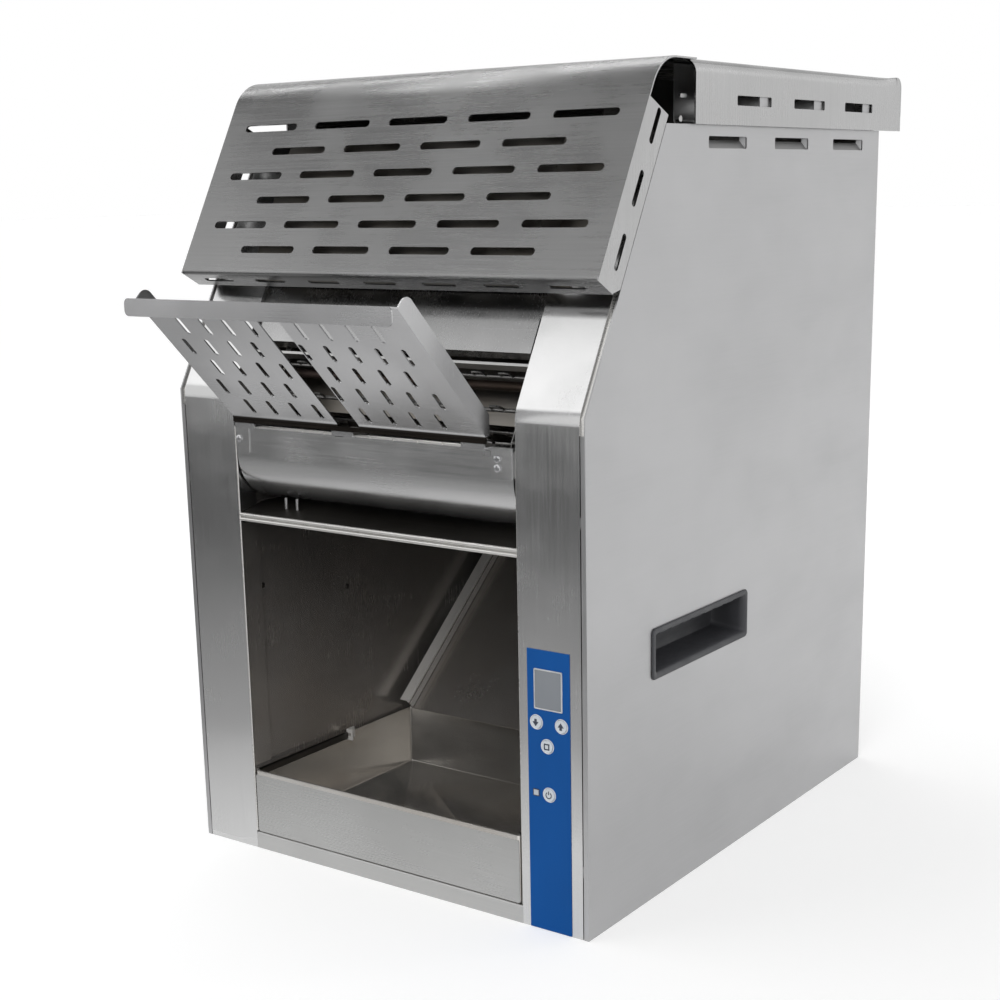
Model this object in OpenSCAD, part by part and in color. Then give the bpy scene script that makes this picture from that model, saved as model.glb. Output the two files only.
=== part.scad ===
// Countertop conveyor toaster: a slanted, vented front with a chain conveyor behind it,
// a loading ramp above, and a collection tray in the opening below.
// X runs to the right seen from the front, Y to the back, Z up.
// The origin is at the centre of the face that the body stands on.
// Inside each module Y is measured from the front face of the columns.
// The slope frame has its Z up along the slanted front and its Y square into the body.

/* [Body] */
// Width over the two side panels
body_w = 380; // [360:1:460]
// Depth from the column fronts to the back panel
body_d = 468; // [450:1:560]
// Height of the side panels
side_h = 565.5; // [562:0.5:590]
// Thickness of the outer sheet metal
sheet_t = 1.2; // [0.8:0.1:1.6]
// Thickness of the inner sheet metal
liner_t = 1; // [0.8:0.1:1.4]
// Height at which the front starts to slant
slant_z = 375; // [360:1:390]
// Angle of the slanted front from the vertical
slant_deg = 29; // [26:0.5:31]
// Length of a side panel's vent slot
side_vent_l = 58.5; // [30:0.5:80]
// Height of a side panel's vent slot
side_vent_h = 8.5; // [4:0.5:12]
// Distance between the vent slots in a side panel
side_vent_pitch = 105; // [85:1:110]

/* [Columns] */
// Width of the opening between the columns
opening_w = 266; // [240:1:280]
// Radius of the bend in a column's front
column_bend_r = 25; // [22:1:40]
// Depth of a column's inner return flange
return_d = 20; // [12:1:21]
// Width of the hem beside each column
hem_w = 4; // [3:0.5:8]
// Width of the seam between the hem and the column
seam_w = 0.8; // [0.4:0.1:2]

/* [Cover] */
// Overhang of the top cover beside each side panel
cover_side = 3; // [2:0.5:10]
// Height of the top cover's flat top
cover_z = 610; // [606:1:630]
// Overhang of the top cover behind the back panel
cover_overhang = 38.5; // [20:0.5:60]
// Radius of the cover's front bend
cover_bend_r = 35; // [15:1:45]
// Radius of the cover's side and rear bends
cover_edge_r = 10; // [5:1:14]
// Distance of the hood face in front of the columns' slanted face
hood_gap = 33; // [28:1:45]
// Height of the hood face's lower edge
hood_z = 464.5; // [455:0.5:470]
// Depth of the hood's side flanges
hood_flange_d = 28; // [20:1:28]
// Depth of the fold under the hood face
hood_fold_d = 21; // [12:1:26]
// Length of a hood slot
hood_slot_l = 54; // [30:1:62]
// Width of a hood slot
hood_slot_w = 6; // [3:0.5:9]
// Sideways pitch of the hood slots
hood_slot_pitch = 73; // [66:0.5:74]
// Pitch of the rows of hood slots along the slope
hood_row_pitch = 20.8; // [16:0.1:23]

/* [Loading ramp] */
// Width of the ramp
ramp_w = 238; // [200:1:250]
// Length of the ramp along its slope
ramp_len = 135; // [110:1:150]
// Angle of the ramp above the horizontal
ramp_deg = 45.6; // [40:0.2:50]
// Height of the ramp's side flanges
ramp_flange_h = 12.5; // [6:0.5:16]
// Height of the ramp's front lip
ramp_lip_h = 12.5; // [6:0.5:18]
// Width of the gap between the ramp's two halves
ramp_gap_w = 20.5; // [10:0.5:24]
// Length of a ramp slot
ramp_slot_l = 17; // [8:0.5:19]
// Width of a ramp slot
ramp_slot_w = 4; // [2:0.5:6]
// Pitch of the ramp's slots across the ramp
ramp_slot_pitch = 22.4; // [12:0.1:30]
// Pitch of the rows of ramp slots along the ramp
ramp_row_pitch = 22.5; // [20:0.1:26]

/* [Guard and tray] */
// Height of the guard's top edge
guard_top_z = 351; // [347:1:353]
// Height of the hemmed bar's lower edge
bar_z = 274; // [255:1:276]
// Height of the hemmed bar
bar_h = 7; // [4:0.5:9]
// Height of the base rail
base_rail_h = 14; // [10:1:20]
// Depth of the collection tray
tray_d = 202; // [150:1:220]
// Height of the collection tray's walls
tray_h = 53; // [30:1:60]
// Side clearance of the collection tray
tray_gap = 2; // [0.5:0.5:6]

/* [Controls] */
// Width of the control overlay
overlay_w = 35.5; // [32:0.5:40]
// Height of the control overlay
overlay_h = 211; // [204:1:240]
// Thickness of the control overlay
overlay_t = 0.6; // [0.3:0.1:1]
// Diameter of a button
button_d = 10.2; // [8:0.1:11]
// Travel of a button
button_travel = 0.8; // [0.4:0.1:1]
// Width of the display window
display_w = 23.3; // [18:0.1:26]
// Height of the display window
display_h = 29; // [20:0.5:32]

/* [Handles] */
// Length of a handle cup's rim
cup_l = 148; // [110:1:160]
// Height of a handle cup's rim
cup_h = 39; // [30:1:50]
// Depth of a handle cup
cup_depth = 30; // [20:1:40]

/* [Conveyor] */
// Radius of the conveyor sprockets
sprocket_r = 23.6; // [20:0.1:24]
// Distance between the two conveyor shafts
shaft_spacing = 221; // [200:1:225]
// Diameter of the conveyor shafts
shaft_d = 12; // [8:0.5:14]
// Distance of the shafts behind the columns' slanted face
shaft_g = 57; // [56:0.5:60]
// Distance between the two conveyor chains
chain_spacing = 236; // [200:1:240]
// Number of bread racks round the loop
rack_count = 24; // [12:1:28]
// Height of the racks' tines
tine_h = 8; // [4:0.5:8]
// Radius of the wheel that the drive chain turns
driven_r = 26; // [18:1:30]
// Radius of the wheel on the motor
driver_r = 13; // [9:1:16]

/* [Heating] */
// Number of heating rods in each bank
rod_count = 4; // [2:1:5]
// Diameter of a heating rod
rod_d = 7; // [4:0.5:9]
// Pitch of the front heating rods
front_rod_pitch = 24; // [14:1:24]
// Pitch of the rear heating rods
rear_rod_pitch = 35; // [20:1:35]

/* [Base and back] */
// Distance between the leg threads, side to side
leg_dx = 320; // [300:1:330]
// Distance between the leg threads, front to back
leg_dy = 380; // [340:1:390]
// Core radius of a leg thread
leg_r = 4.25; // [3:0.25:5]
// Width of the cooling fan's frame
fan_w = 92; // [80:1:100]
// Depth of the cooling fan's frame
fan_d = 25; // [20:1:30]
// Radius of the cord hole
gland_r = 11; // [8:0.5:14]

/* [Hidden] */
$fn = 48;

// Clearances: pieces that are bolted together, pieces that slide, and a running shaft
seat = 0.1;
slide = 0.4;
running = 0.05;
// Overreach of a cutting tool past the face it cuts
cut = 1;

steel = "#b9bbbd";
dark_steel = "#6f6a64";
satin = "#c9cacb";
black = "#2b2d30";
blue = "#1a58a5";
grey = "#8f949a";
white = "#e8e6df";
brass = "#b08d57";

half_w = body_w / 2;
side_in = half_w - sheet_t;
column_in = opening_w / 2;
column_out = half_w - hem_w - seam_w;
wall_in = column_in + sheet_t + seat;
wall_out = wall_in + liner_t;
floor_z = sheet_t + seat;
column_top = 195;
column_return_back = 12;
wall_top = 600;
wall_back = body_d - 6;
cover_half = half_w + cover_side;
cover_w = 2 * cover_half;
cover_y = body_d + cover_overhang;
cover_flange_y = 141;
cover_flange_h = cover_z - side_h;
rail_z = cover_z - sheet_t - seat;

// A point in the plane of the side, from its place along the slanted front and behind it
function at(h, g) = [
    h * sin(slant_deg) + g * cos(slant_deg),
    slant_z + h * cos(slant_deg) - g * sin(slant_deg)
];
// The place along the slant of a point at height z and distance g behind the slanted face
function along(z, g) = (z - slant_z + g * sin(slant_deg)) / cos(slant_deg);

hood_h = along(hood_z, -hood_gap);
hood_len = 137;
lower_h = -21;
upper_h = lower_h + shaft_spacing;
lower_c = at(lower_h, shaft_g);
upper_c = at(upper_h, shaft_g);
chain_in = sprocket_r + 0.6;
chain_out = chain_in + 3.6;
rack_r = (chain_in + chain_out) / 2;
chain_w = 6;
chain_x = chain_spacing / 2;
shaft_end = wall_out + 7;
drive_x = wall_out + 16;
motor_c = [body_d - 36, 300];
heater_h = 92;
heater_len = 108;
front_rod_g = -11;
rear_rod_g = 46;
cup_c = [161, 191.5];
overlay_x = 158;
fan_c = [half_w - 110, 110];
gland_c = [60 - half_w, 60];
tray_z = base_rail_h + seat + 0.5;
ramp_y = -10.3;
ramp_z = guard_top_z + 6;
gap_x = -3.75;
button_z = [157.8, 157.8, 141, 105];
button_x = [168.9, 147.7, 156.8, 158];
light_c = [146.8, 105];
display_z = 182.5;
board_y = 16;

// ---- Geometry helpers ----
function unit(v) = v / norm(v);
function turn(v) = [-v[1], v[0]];
function last(p) = p[len(p) - 1];
// The points of a round bend of radius r at corner b of the line a-b-c
function bend(a, b, c, r, n) = let(
    u = unit(a - b),
    v = unit(c - b),
    half = acos(u * v) / 2,
    centre = b + unit(u + v) * r / sin(half),
    from = b + u * r / tan(half) - centre,
    to = b + v * r / tan(half) - centre,
    start = atan2(from[1], from[0]),
    step = atan2(to[1], to[0]) - start,
    sweep = step > 180 ? step - 360 : step < -180 ? step + 360 : step
) [for (i = [0:n]) centre + r * [cos(start + sweep * i / n), sin(start + sweep * i / n)]];
// A line of points with its corners bent to radius r
function bent(p, r, n = 6) = [
    p[0],
    for (i = [1:len(p) - 2]) each bend(p[i - 1], p[i], p[i + 1], r, n),
    last(p)
];
function mitred(p, i, t) = let(
    a = turn(unit(i > 0 ? p[i] - p[i - 1] : p[1] - p[0])),
    b = turn(unit(i < len(p) - 1 ? p[i + 1] - p[i] : p[i] - p[i - 1])),
    m = unit(a + b)
) p[i] + m * t / (m * a);
// The outline of a sheet of thickness t to the left of a line of points
function strip(p, t) = concat(p, [for (i = [len(p) - 1:-1:0]) mitred(p, i, t)]);
function arc(c, r, a0, a1, n) = [
    for (i = [0:n]) c + r * [cos(a0 + (a1 - a0) * i / n), sin(a0 + (a1 - a0) * i / n)]
];
// The line of a belt of n points a side round two wheels
function belt(c1, r1, c2, r2, n) = let(
    way = atan2(c2[1] - c1[1], c2[0] - c1[0]),
    lean = acos((r1 - r2) / norm(c2 - c1))
) concat(arc(c1, r1, way + lean, way + 360 - lean, n), arc(c2, r2, way - lean, way + lean, n));

module piece(c) color(c) translate([0, -body_d / 2, 0]) children();
module along_x(x, w) translate([x, 0, 0]) rotate([90, 0, 90]) linear_extrude(w) children();
module along_y(y, d) translate([0, y + d, 0]) rotate([90, 0, 0]) linear_extrude(d) children();
module along_z(z, h) translate([0, 0, z]) linear_extrude(h) children();
module mirrored(side) mirror([side < 0 ? 1 : 0, 0, 0]) children();
module both() {
    children();
    mirror([1, 0, 0]) children();
}
module block(lo, hi) translate(lo) cube(hi - lo);
module slope() translate([0, 0, slant_z]) rotate([-slant_deg, 0, 0]) children();
// A rod along X with its axis at [y, z]
module rod_x(x, w, c, r) translate([x, c[0], c[1]]) rotate([0, 90, 0]) cylinder(h = w, r = r);
// A rod along Y with its axis at [x, z]
module rod_y(y, d, c, r) translate([c[0], y, c[1]]) rotate([-90, 0, 0]) cylinder(h = d, r = r);
module ring_y(y, d, c, r_out, r_in) difference() {
    rod_y(y, d, c, r_out);
    rod_y(y - cut, d + 2 * cut, c, r_in);
}
module ring_x(x, w, c, r_out, r_in) difference() {
    rod_x(x, w, c, r_out);
    rod_x(x - cut, w + 2 * cut, c, r_in);
}
module stadium(l, w) {
    square([l - w, w], center = true);
    for (s = [-1, 1]) translate([s * (l - w) / 2, 0]) circle(d = w);
}
module round_box(lo, hi, r) translate(lo) {
    translate([r, 0]) square([hi[0] - lo[0] - 2 * r, hi[1] - lo[1]]);
    translate([0, r]) square([hi[0] - lo[0], hi[1] - lo[1] - 2 * r]);
    for (x = [r, hi[0] - lo[0] - r], y = [r, hi[1] - lo[1] - r]) translate([x, y]) circle(r);
}
module slot(l, w, r) round_box([-l / 2, -w / 2], [l / 2, w / 2], r);
// A pan-head screw along Y with its head in front of y
module screw_y(y, c, head_r, shank_r, length) {
    translate([c[0], y, c[1]]) rotate([90, 0, 0])
        cylinder(h = head_r * 0.6, r1 = head_r, r2 = head_r * 0.72);
    rod_y(y - head_r * 0.3, length, c, shank_r);
}

// ---- Outer panels ----
side_outline = [
    [0, 0], [0, slant_z], at(along(side_h, 0), 0), [body_d, side_h], [body_d, 0]
];
side_vent_z = side_h - 12;
side_vent_y = body_d - 63;
hem_top = slant_z - 12;
seam_tab_z = [48, 300];
vent_corner_r = 1.5;
module side_panel(side) mirrored(side) difference() {
    union() {
        along_x(side_in, sheet_t) polygon(side_outline);
        block([half_w - hem_w, 0, 0], [side_in + sheet_t / 2, sheet_t, hem_top]);
        block([half_w - 24, cover_flange_y, side_h - sheet_t], [half_w, body_d, side_h]);
        for (z = seam_tab_z)
            block([column_out + seat, sheet_t / 2, z], [side_in + sheet_t / 2, 2 * sheet_t, z + 8]);
    }
    for (i = [0:2]) translate([0, side_vent_y - i * side_vent_pitch, side_vent_z])
        along_x(side_in - cut, 3 * sheet_t) slot(side_vent_l, side_vent_h, vent_corner_r);
    block([side_in - cut, cup_c[0] - cup_l / 2 + 4, cup_c[1] - cup_h / 2 + 4],
        [half_w + cut, cup_c[0] + cup_l / 2 - 4, cup_c[1] + cup_h / 2 - 4]);
}
module side_panel_left() piece(satin) side_panel(-1);
module side_panel_right() piece(satin) side_panel(1);

// A handle cup: a rim outside the panel and a pocket behind it, with a sloped ceiling to grip
cup_rim_t = 1.6;
cup_wall = 2;
module handle_cup(side) mirrored(side) translate([0, cup_c[0], cup_c[1]]) difference() {
    union() {
        along_x(half_w + seat, cup_rim_t) round_box([-cup_l / 2, -cup_h / 2], [cup_l / 2, cup_h / 2], 3);
        block([half_w - cup_depth, 4.2 - cup_l / 2, 4.2 - cup_h / 2],
            [half_w + cup_rim_t / 2, cup_l / 2 - 4.2, cup_h / 2 - 4.2]);
    }
    block([half_w - cup_depth + cup_wall, 4.2 + cup_wall - cup_l / 2, 4.2 + cup_wall - cup_h / 2],
        [half_w + cup_rim_t + cut, cup_l / 2 - 4.2 - cup_wall, cup_h / 2 - 4.2 - cup_wall]);
}
module handle_cup_left() piece(black) handle_cup(-1);
module handle_cup_right() piece(black) handle_cup(1);

module column_sheet(x, w, depth, z0) along_x(x, w)
    polygon(strip(bent([[0, z0], [0, slant_z], at(column_top, 0)], column_bend_r), -depth));
module front_column(side) mirrored(side) {
    column_sheet(column_in, column_out - column_in, sheet_t, 0);
    column_sheet(column_in, sheet_t, return_d, floor_z);
    column_sheet(column_out - sheet_t, sheet_t, column_return_back, floor_z + 60);
}
module front_column_left() piece(steel) front_column(-1);
module front_column_right() piece(steel) difference() {
    front_column(1);
    control_holes(sheet_t);
}

back_hole_z = [350, 520];
louvre_l = 60;
louvre_w = 5;
louvre_pitch = 17;
louvre_x = half_w - 80;
back_screw_r = 1.8;
back_screw_places = [for (x = [-1, 1], z = [20, 200, 380, side_h - 20]) [x * (half_w - 12), z]];
module back_panel() piece(satin) difference() {
    along_y(body_d - sheet_t, sheet_t) translate([-side_in + seat, floor_z])
        square([2 * (side_in - seat), side_h - sheet_t - floor_z - seat]);
    for (x = [-louvre_x, 0, louvre_x], z = [back_hole_z[0]:louvre_pitch:back_hole_z[1]])
        translate([x, 0, z]) along_y(body_d - sheet_t - cut, 4 * sheet_t) stadium(louvre_l, louvre_w);
    rod_y(body_d - sheet_t - cut, 4 * sheet_t, fan_c, fan_w / 2 - 4);
    rod_y(body_d - sheet_t - cut, 4 * sheet_t, gland_c, gland_r);
    for (c = back_screw_places) rod_y(body_d - sheet_t - cut, 4 * sheet_t, c, back_screw_r + seat);
}
module back_screws() piece(grey) for (c = back_screw_places)
    translate([0, 2 * body_d, 0]) mirror([0, 1, 0]) screw_y(body_d, c, 2 * back_screw_r, back_screw_r, 6);

module base_pan() piece(steel) difference() {
    union() {
        block([-side_in + seat, sheet_t + seat, 0], [side_in - seat, body_d - sheet_t - seat, sheet_t]);
        block([-side_in + seat, body_d - 2 * sheet_t - 2 * seat, 0],
            [side_in - seat, body_d - sheet_t - seat, 12]);
    }
    for (x = [-1, 1], y = [-1, 1]) translate([x * leg_dx / 2, body_d / 2 + y * leg_dy / 2, -cut])
        cylinder(h = sheet_t + 2 * cut, r = leg_r + 3 + seat);
}
module leg_nuts() piece(grey) for (x = [-1, 1], y = [-1, 1])
    translate([x * leg_dx / 2, body_d / 2 + y * leg_dy / 2, 0]) difference() {
        union() {
            cylinder(h = floor_z + cut, r = leg_r + 3);
            translate([0, 0, floor_z]) cylinder(h = 9, r = leg_r + 5.5, $fn = 6);
        }
        translate([0, 0, -cut]) cylinder(h = 9 + floor_z + 2 * cut, r = leg_r);
    }
module base_rail() piece(steel) along_x(seat - column_in, opening_w - 2 * seat)
    polygon(strip(bent([[0, 0], [0, base_rail_h], [18, base_rail_h]], 2, 4), -sheet_t + seat));

// ---- Top cover with the slanted, slotted hood ----
cover_line = [
    at(hood_h, -hood_gap + hood_fold_d), at(hood_h, -hood_gap),
    at(along(cover_z, -hood_gap), -hood_gap), [cover_flange_y + cut, cover_z]
];
cover_bends = concat(
    [cover_line[0]],
    bend(cover_line[0], cover_line[1], cover_line[2], 3, 4),
    bend(cover_line[1], cover_line[2], cover_line[3], cover_bend_r, 12),
    [cover_line[3]]
);
hood_rows = [for (i = [0:5]) hood_h + 20.5 + i * hood_row_pitch];
hood_side_slots = [28.4, 75.3, 121.9];
hood_side_slot_l = 26.5;
fold_slot_l = 30;
fold_slot_w = 5;
fold_slot_pitch = 54;
cover_slot_l = 55;
cover_slot_w = 7;
cover_slot_pitch = 93.7;
cover_slot_y = 230.5;
cover_slot_z = cover_z - 27;
rear_flange_h = 32;
module hood_flange() along_x(cover_half - sheet_t, sheet_t) polygon([
    at(hood_h, -hood_gap), at(hood_h, -hood_gap + hood_flange_d - 8),
    at(hood_h + 7, -hood_gap + hood_flange_d), at(hood_h + hood_len, -hood_gap + hood_flange_d),
    at(hood_h + hood_len - 1.5, -hood_gap)
]);
module top_cover() piece(steel) difference() {
    union() {
        along_x(-cover_half, cover_w) polygon(strip(cover_bends, -sheet_t));
        both() hood_flange();
        along_y(cover_flange_y, cover_y - cover_edge_r - cover_flange_y) polygon(strip(bent([
            [-cover_half, side_h], [-cover_half, cover_z], [cover_half, cover_z], [cover_half, side_h]
        ], cover_edge_r), -sheet_t));
        along_x(-cover_half, cover_w) polygon(strip(bent([
            [cover_y - cover_edge_r - cut, cover_z], [cover_y, cover_z],
            [cover_y, cover_z - rear_flange_h]
        ], cover_edge_r - 1), -sheet_t));
    }
    slope() for (i = [0:5]) translate([0, 0, hood_rows[i]]) for (k = [0:i % 2 == 0 ? 3 : 4])
        translate([(k - (i % 2 == 0 ? 1.5 : 2)) * hood_slot_pitch, 0, 0])
            along_y(-hood_gap - cut, 4) stadium(hood_slot_l, hood_slot_w);
    slope() for (k = [-3:3]) translate([k * fold_slot_pitch, hood_fold_d * 0.55 - hood_gap, hood_h - cut])
        linear_extrude(4) stadium(fold_slot_l, fold_slot_w);
    both() slope() for (s = hood_side_slots) translate([0, 16 - hood_gap, hood_h + s])
        along_x(cover_half - sheet_t - cut, 4) rotate(90) stadium(hood_side_slot_l, 5);
    both() for (i = [0:2]) translate([0, cover_slot_y + i * cover_slot_pitch, cover_slot_z])
        along_x(cover_half - sheet_t - cut, 4) slot(cover_slot_l, cover_slot_w, vent_corner_r);
}
// Two Z-shaped rails that stand on the side panels' top flanges and carry the cover
module cover_rails() piece(steel) both() along_y(cover_flange_y + 9, body_d - cover_flange_y - 18)
    polygon(strip(bent([
        [side_in - seat, side_h + seat + liner_t], [side_in - 18, side_h + seat + liner_t],
        [side_in - 18, rail_z], [side_in - 38, rail_z]
    ], 3), liner_t));

// ---- Chamber ----
wall_front = sheet_t + seat;
wall_corner = [wall_front, slant_z - wall_front * tan(slant_deg / 2)];
wall_peak = at(along(wall_top, wall_front), wall_front);
wall_outline = concat(
    [[wall_front, floor_z]],
    bend([wall_front, floor_z], wall_corner, wall_peak, column_bend_r - wall_front, 8),
    [wall_peak, [wall_back, wall_top], [wall_back, floor_z]]
);
module inner_wall(side) mirrored(side) difference() {
    along_x(wall_in, liner_t) polygon(wall_outline);
    for (c = [lower_c, upper_c]) rod_x(wall_in - cut, liner_t + 2 * cut, c, shaft_d / 2 + 4 + seat);
}
module inner_wall_left() piece(dark_steel) difference() {
    inner_wall(-1);
    rod_x(-wall_out - cut, liner_t + 2 * cut, motor_c, 10);
}
module inner_wall_right() piece(dark_steel) inner_wall(1);

chute_deg = 40;
chute_start = [188, 72];
chute_knee = chute_start + 205 * [cos(chute_deg), sin(chute_deg)];
rear_wall_y = body_d - 70;
chute_top = [rear_wall_y - liner_t - seat, 330];
chute_left = -118;
chute_flange = 10;
module return_chute() piece(dark_steel) {
    along_x(chute_left, wall_in - seat - chute_left)
        polygon(strip(bent([chute_start, chute_knee, chute_top], 60, 8), -liner_t));
    along_x(chute_left, liner_t)
        polygon(strip(bent([chute_start, chute_knee, chute_top], 60, 8), chute_flange));
}
module rear_wall() piece(dark_steel)
    block([seat - wall_in, rear_wall_y, chute_top[1] - 20],
        [wall_in - seat, rear_wall_y + liner_t, wall_top]);

// ---- Tray ----
tray_half = column_in - tray_gap;
hem_r = 1.5;
module collection_tray() piece(satin) {
    difference() {
        block([-tray_half, 0, tray_z], [tray_half, tray_d, tray_z + tray_h]);
        block([-tray_half + liner_t, liner_t, tray_z + liner_t],
            [tray_half - liner_t, tray_d - liner_t, tray_z + tray_h + cut]);
    }
    // Folded hems along the front and side rims, and the small tabs that end the side hems
    block([-tray_half, 0, tray_z + tray_h - 2 * hem_r], [tray_half, 2 * hem_r, tray_z + tray_h]);
    both() {
        block([tray_half - 2 * hem_r, hem_r, tray_z + tray_h - 2 * hem_r],
            [tray_half, 120, tray_z + tray_h + hem_r]);
        block([tray_half - 7, 112, tray_z + tray_h - 6], [tray_half - hem_r, 122, tray_z + tray_h + 4]);
    }
}
module tray_rails() piece(steel) both() {
    block([column_in, return_d + 1, 3], [wall_in - seat, tray_d + 4, base_rail_h]);
    block([column_in - 15, return_d + 1, base_rail_h - sheet_t],
        [column_in + sheet_t / 2, tray_d + 4, base_rail_h]);
}

// ---- Guard round the lower shaft, and the shroud under it ----
guard_half = column_in - 2;
hem_drop = 3;
guard_line = concat([[0, guard_top_z]], arc(lower_c, lower_c[0], 180, 250, 14));
guard_screw_x = [118.5, 118.5, -127];
guard_screw_z = [guard_top_z - 8, guard_top_z - 14.5, guard_top_z - 11];
// Slots that the ramp's hooks and the bracket tabs leave in the guard, as [x, top, width, height]
guard_notches = [[-30, 0, 8, 3], [106, -hem_drop, 8, 4], [-123, -hem_drop, 6, 4]];
module front_guard() piece(steel) difference() {
    union() {
        along_x(-guard_half, 2 * guard_half) polygon(strip(guard_line, sheet_t));
        block([-guard_half, 0, guard_top_z - hem_drop + 0.5], [guard_half, 2 * sheet_t, guard_top_z]);
    }
    for (n = guard_notches)
        block([n[0], -cut, guard_top_z + n[1] - n[3]], [n[0] + n[2], 3 * sheet_t, guard_top_z + n[1] + 0.01]);
    for (i = [0:2]) rod_y(-cut, 4, [guard_screw_x[i], guard_screw_z[i]], 1.6);
}
bracket_y = sheet_t + seat;
bracket_t = 1.2;
module guard_brackets() piece(steel) difference() {
    both() {
        block([column_in - 29, bracket_y, guard_top_z - 21],
            [column_in - seat, bracket_y + bracket_t, guard_top_z - hem_drop - slide]);
        block([column_in - seat - bracket_t, bracket_y, guard_top_z - 21],
            [column_in - seat, return_d, guard_top_z - hem_drop - slide]);
    }
    for (i = [0:2]) rod_y(-cut, 8, [guard_screw_x[i], guard_screw_z[i]], 1.6);
}
module guard_screws() piece(grey) for (i = [0:2])
    screw_y(0, [guard_screw_x[i], guard_screw_z[i]], 2.7, 1.5, bracket_y + bracket_t + 0.8);

bar_top = bar_z + bar_h;
hem_d = 2.6;
shroud_z = lower_c[1] - rack_r - tine_h - 9;
shroud_slope_d = 26;
shroud_d = 62;
shroud_line = [[0, bar_z], [0, bar_top], [shroud_slope_d, shroud_z], [shroud_d, shroud_z]];
shroud_half = column_in - slide;
shroud_screw_x = [-99, -87.5];
shroud_screw_y = 18;
shroud_screw_r = 1.2;
shroud_head_r = 2 * shroud_screw_r;
shroud_head_h = 2;
// Height of the sloping shroud's underside at the front of its screw heads
shroud_under = bar_top - liner_t - 2 * seat
    + (shroud_z - bar_top) * (shroud_screw_y - shroud_head_r) / shroud_slope_d;
module lower_shroud() piece(dark_steel) difference() {
    union() {
        along_x(-shroud_half, 2 * shroud_half) polygon(strip(shroud_line, -liner_t));
        block([-shroud_half, 0, bar_z], [shroud_half, hem_d, bar_top - liner_t / 2]);
    }
    for (x = shroud_screw_x) translate([x, shroud_screw_y, bar_z])
        cylinder(h = 20, r = shroud_screw_r + seat);
}
module shroud_screws() piece(grey) for (x = shroud_screw_x)
    translate([x, shroud_screw_y, shroud_under - shroud_head_h]) {
        cylinder(h = 12, r = shroud_screw_r);
        cylinder(h = shroud_head_h, r = shroud_head_r);
    }

// ---- Loading ramp ----
ramp_way = [-cos(ramp_deg), sin(ramp_deg)];
ramp_up = [sin(ramp_deg), cos(ramp_deg)];
ramp_foot = [ramp_y, ramp_z];
ramp_end = ramp_foot + ramp_len * ramp_way;
ramp_heel = ramp_foot + [0, ramp_flange_h / cos(ramp_deg)];
ramp_lip_y = ramp_end[0] - 8;
ramp_lip_z = ramp_end[1] + 1;
ramp_half = ramp_w / 2;
ramp_row_0 = 18.5;
hook_w = 20;
hook_x = [1.5 - ramp_half, ramp_half - hook_w - 1.5, gap_x - ramp_gap_w / 2 - 6];
hook_y = bracket_y + bracket_t + slide + liner_t;
hook_z = guard_top_z + slide + liner_t;
// The sheet's lower end turns down at the knee to the tail
ramp_knee = ramp_foot + 4.7 * ramp_way;
ramp_tail = ramp_knee - [0, 5];
stem_y = ramp_tail[0] + 0.2 * liner_t;
ramp_slot_x = -1.8;
// The places across the ramp of a row of slots that is shifted by a share of the pitch
function ramp_slots(shift) = [
    for (j = [-12:12]) let(x = ramp_slot_x + (j + shift) * ramp_slot_pitch)
        if (abs(x - gap_x) > (ramp_gap_w + ramp_slot_w) / 2 && abs(x) < ramp_half - 12) x
];
// The slanted frame of the ramp: Y runs up the ramp and Z out of its underside
module ramp_frame() translate([0, ramp_y, ramp_z]) rotate([180 - ramp_deg, 0, 0]) children();
module loading_ramp() piece(steel) {
    difference() {
        union() {
            along_x(-ramp_half, ramp_w) polygon(strip(bent([ramp_tail, ramp_knee, ramp_end], 7), liner_t));
            both() along_x(ramp_half - liner_t, liner_t) polygon(concat(
                [ramp_foot, ramp_end],
                bend(ramp_end, ramp_end + ramp_flange_h * ramp_up, ramp_heel, 7, 6),
                [ramp_heel]
            ));
        }
        ramp_frame() {
            block([gap_x - ramp_gap_w / 2, -6, -cut], [gap_x + ramp_gap_w / 2, ramp_len - 4, 2 * cut]);
            for (row = [0:4], x = ramp_slots(row % 2 == 0 ? 0 : 0.5))
                translate([x, ramp_row_0 + row * ramp_row_pitch, -cut])
                    linear_extrude(3 * cut) rotate(90) stadium(ramp_slot_l, ramp_slot_w);
        }
    }
    // The front lip, folded down, with rounded lower corners
    along_x(-ramp_half, ramp_w)
        polygon(strip([ramp_end, [ramp_lip_y, ramp_lip_z], [ramp_lip_y, ramp_lip_z - 3]], liner_t));
    along_y(ramp_lip_y - liner_t, liner_t) translate([0, ramp_lip_z - ramp_lip_h])
        round_box([-ramp_half - 2, 0], [ramp_half + 2, ramp_lip_h], 4);
    // Hooks over the guard's top edge
    for (x = hook_x) along_x(x, hook_w) {
        polygon(strip([
            [hook_y, guard_top_z - 7], [hook_y, hook_z], [ramp_tail[0] - 1.5 * liner_t, hook_z]
        ], liner_t));
        polygon(strip([[stem_y, hook_z - liner_t / 2], [stem_y, ramp_tail[1] + 2]], 1.4 * liner_t));
    }
}

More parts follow.
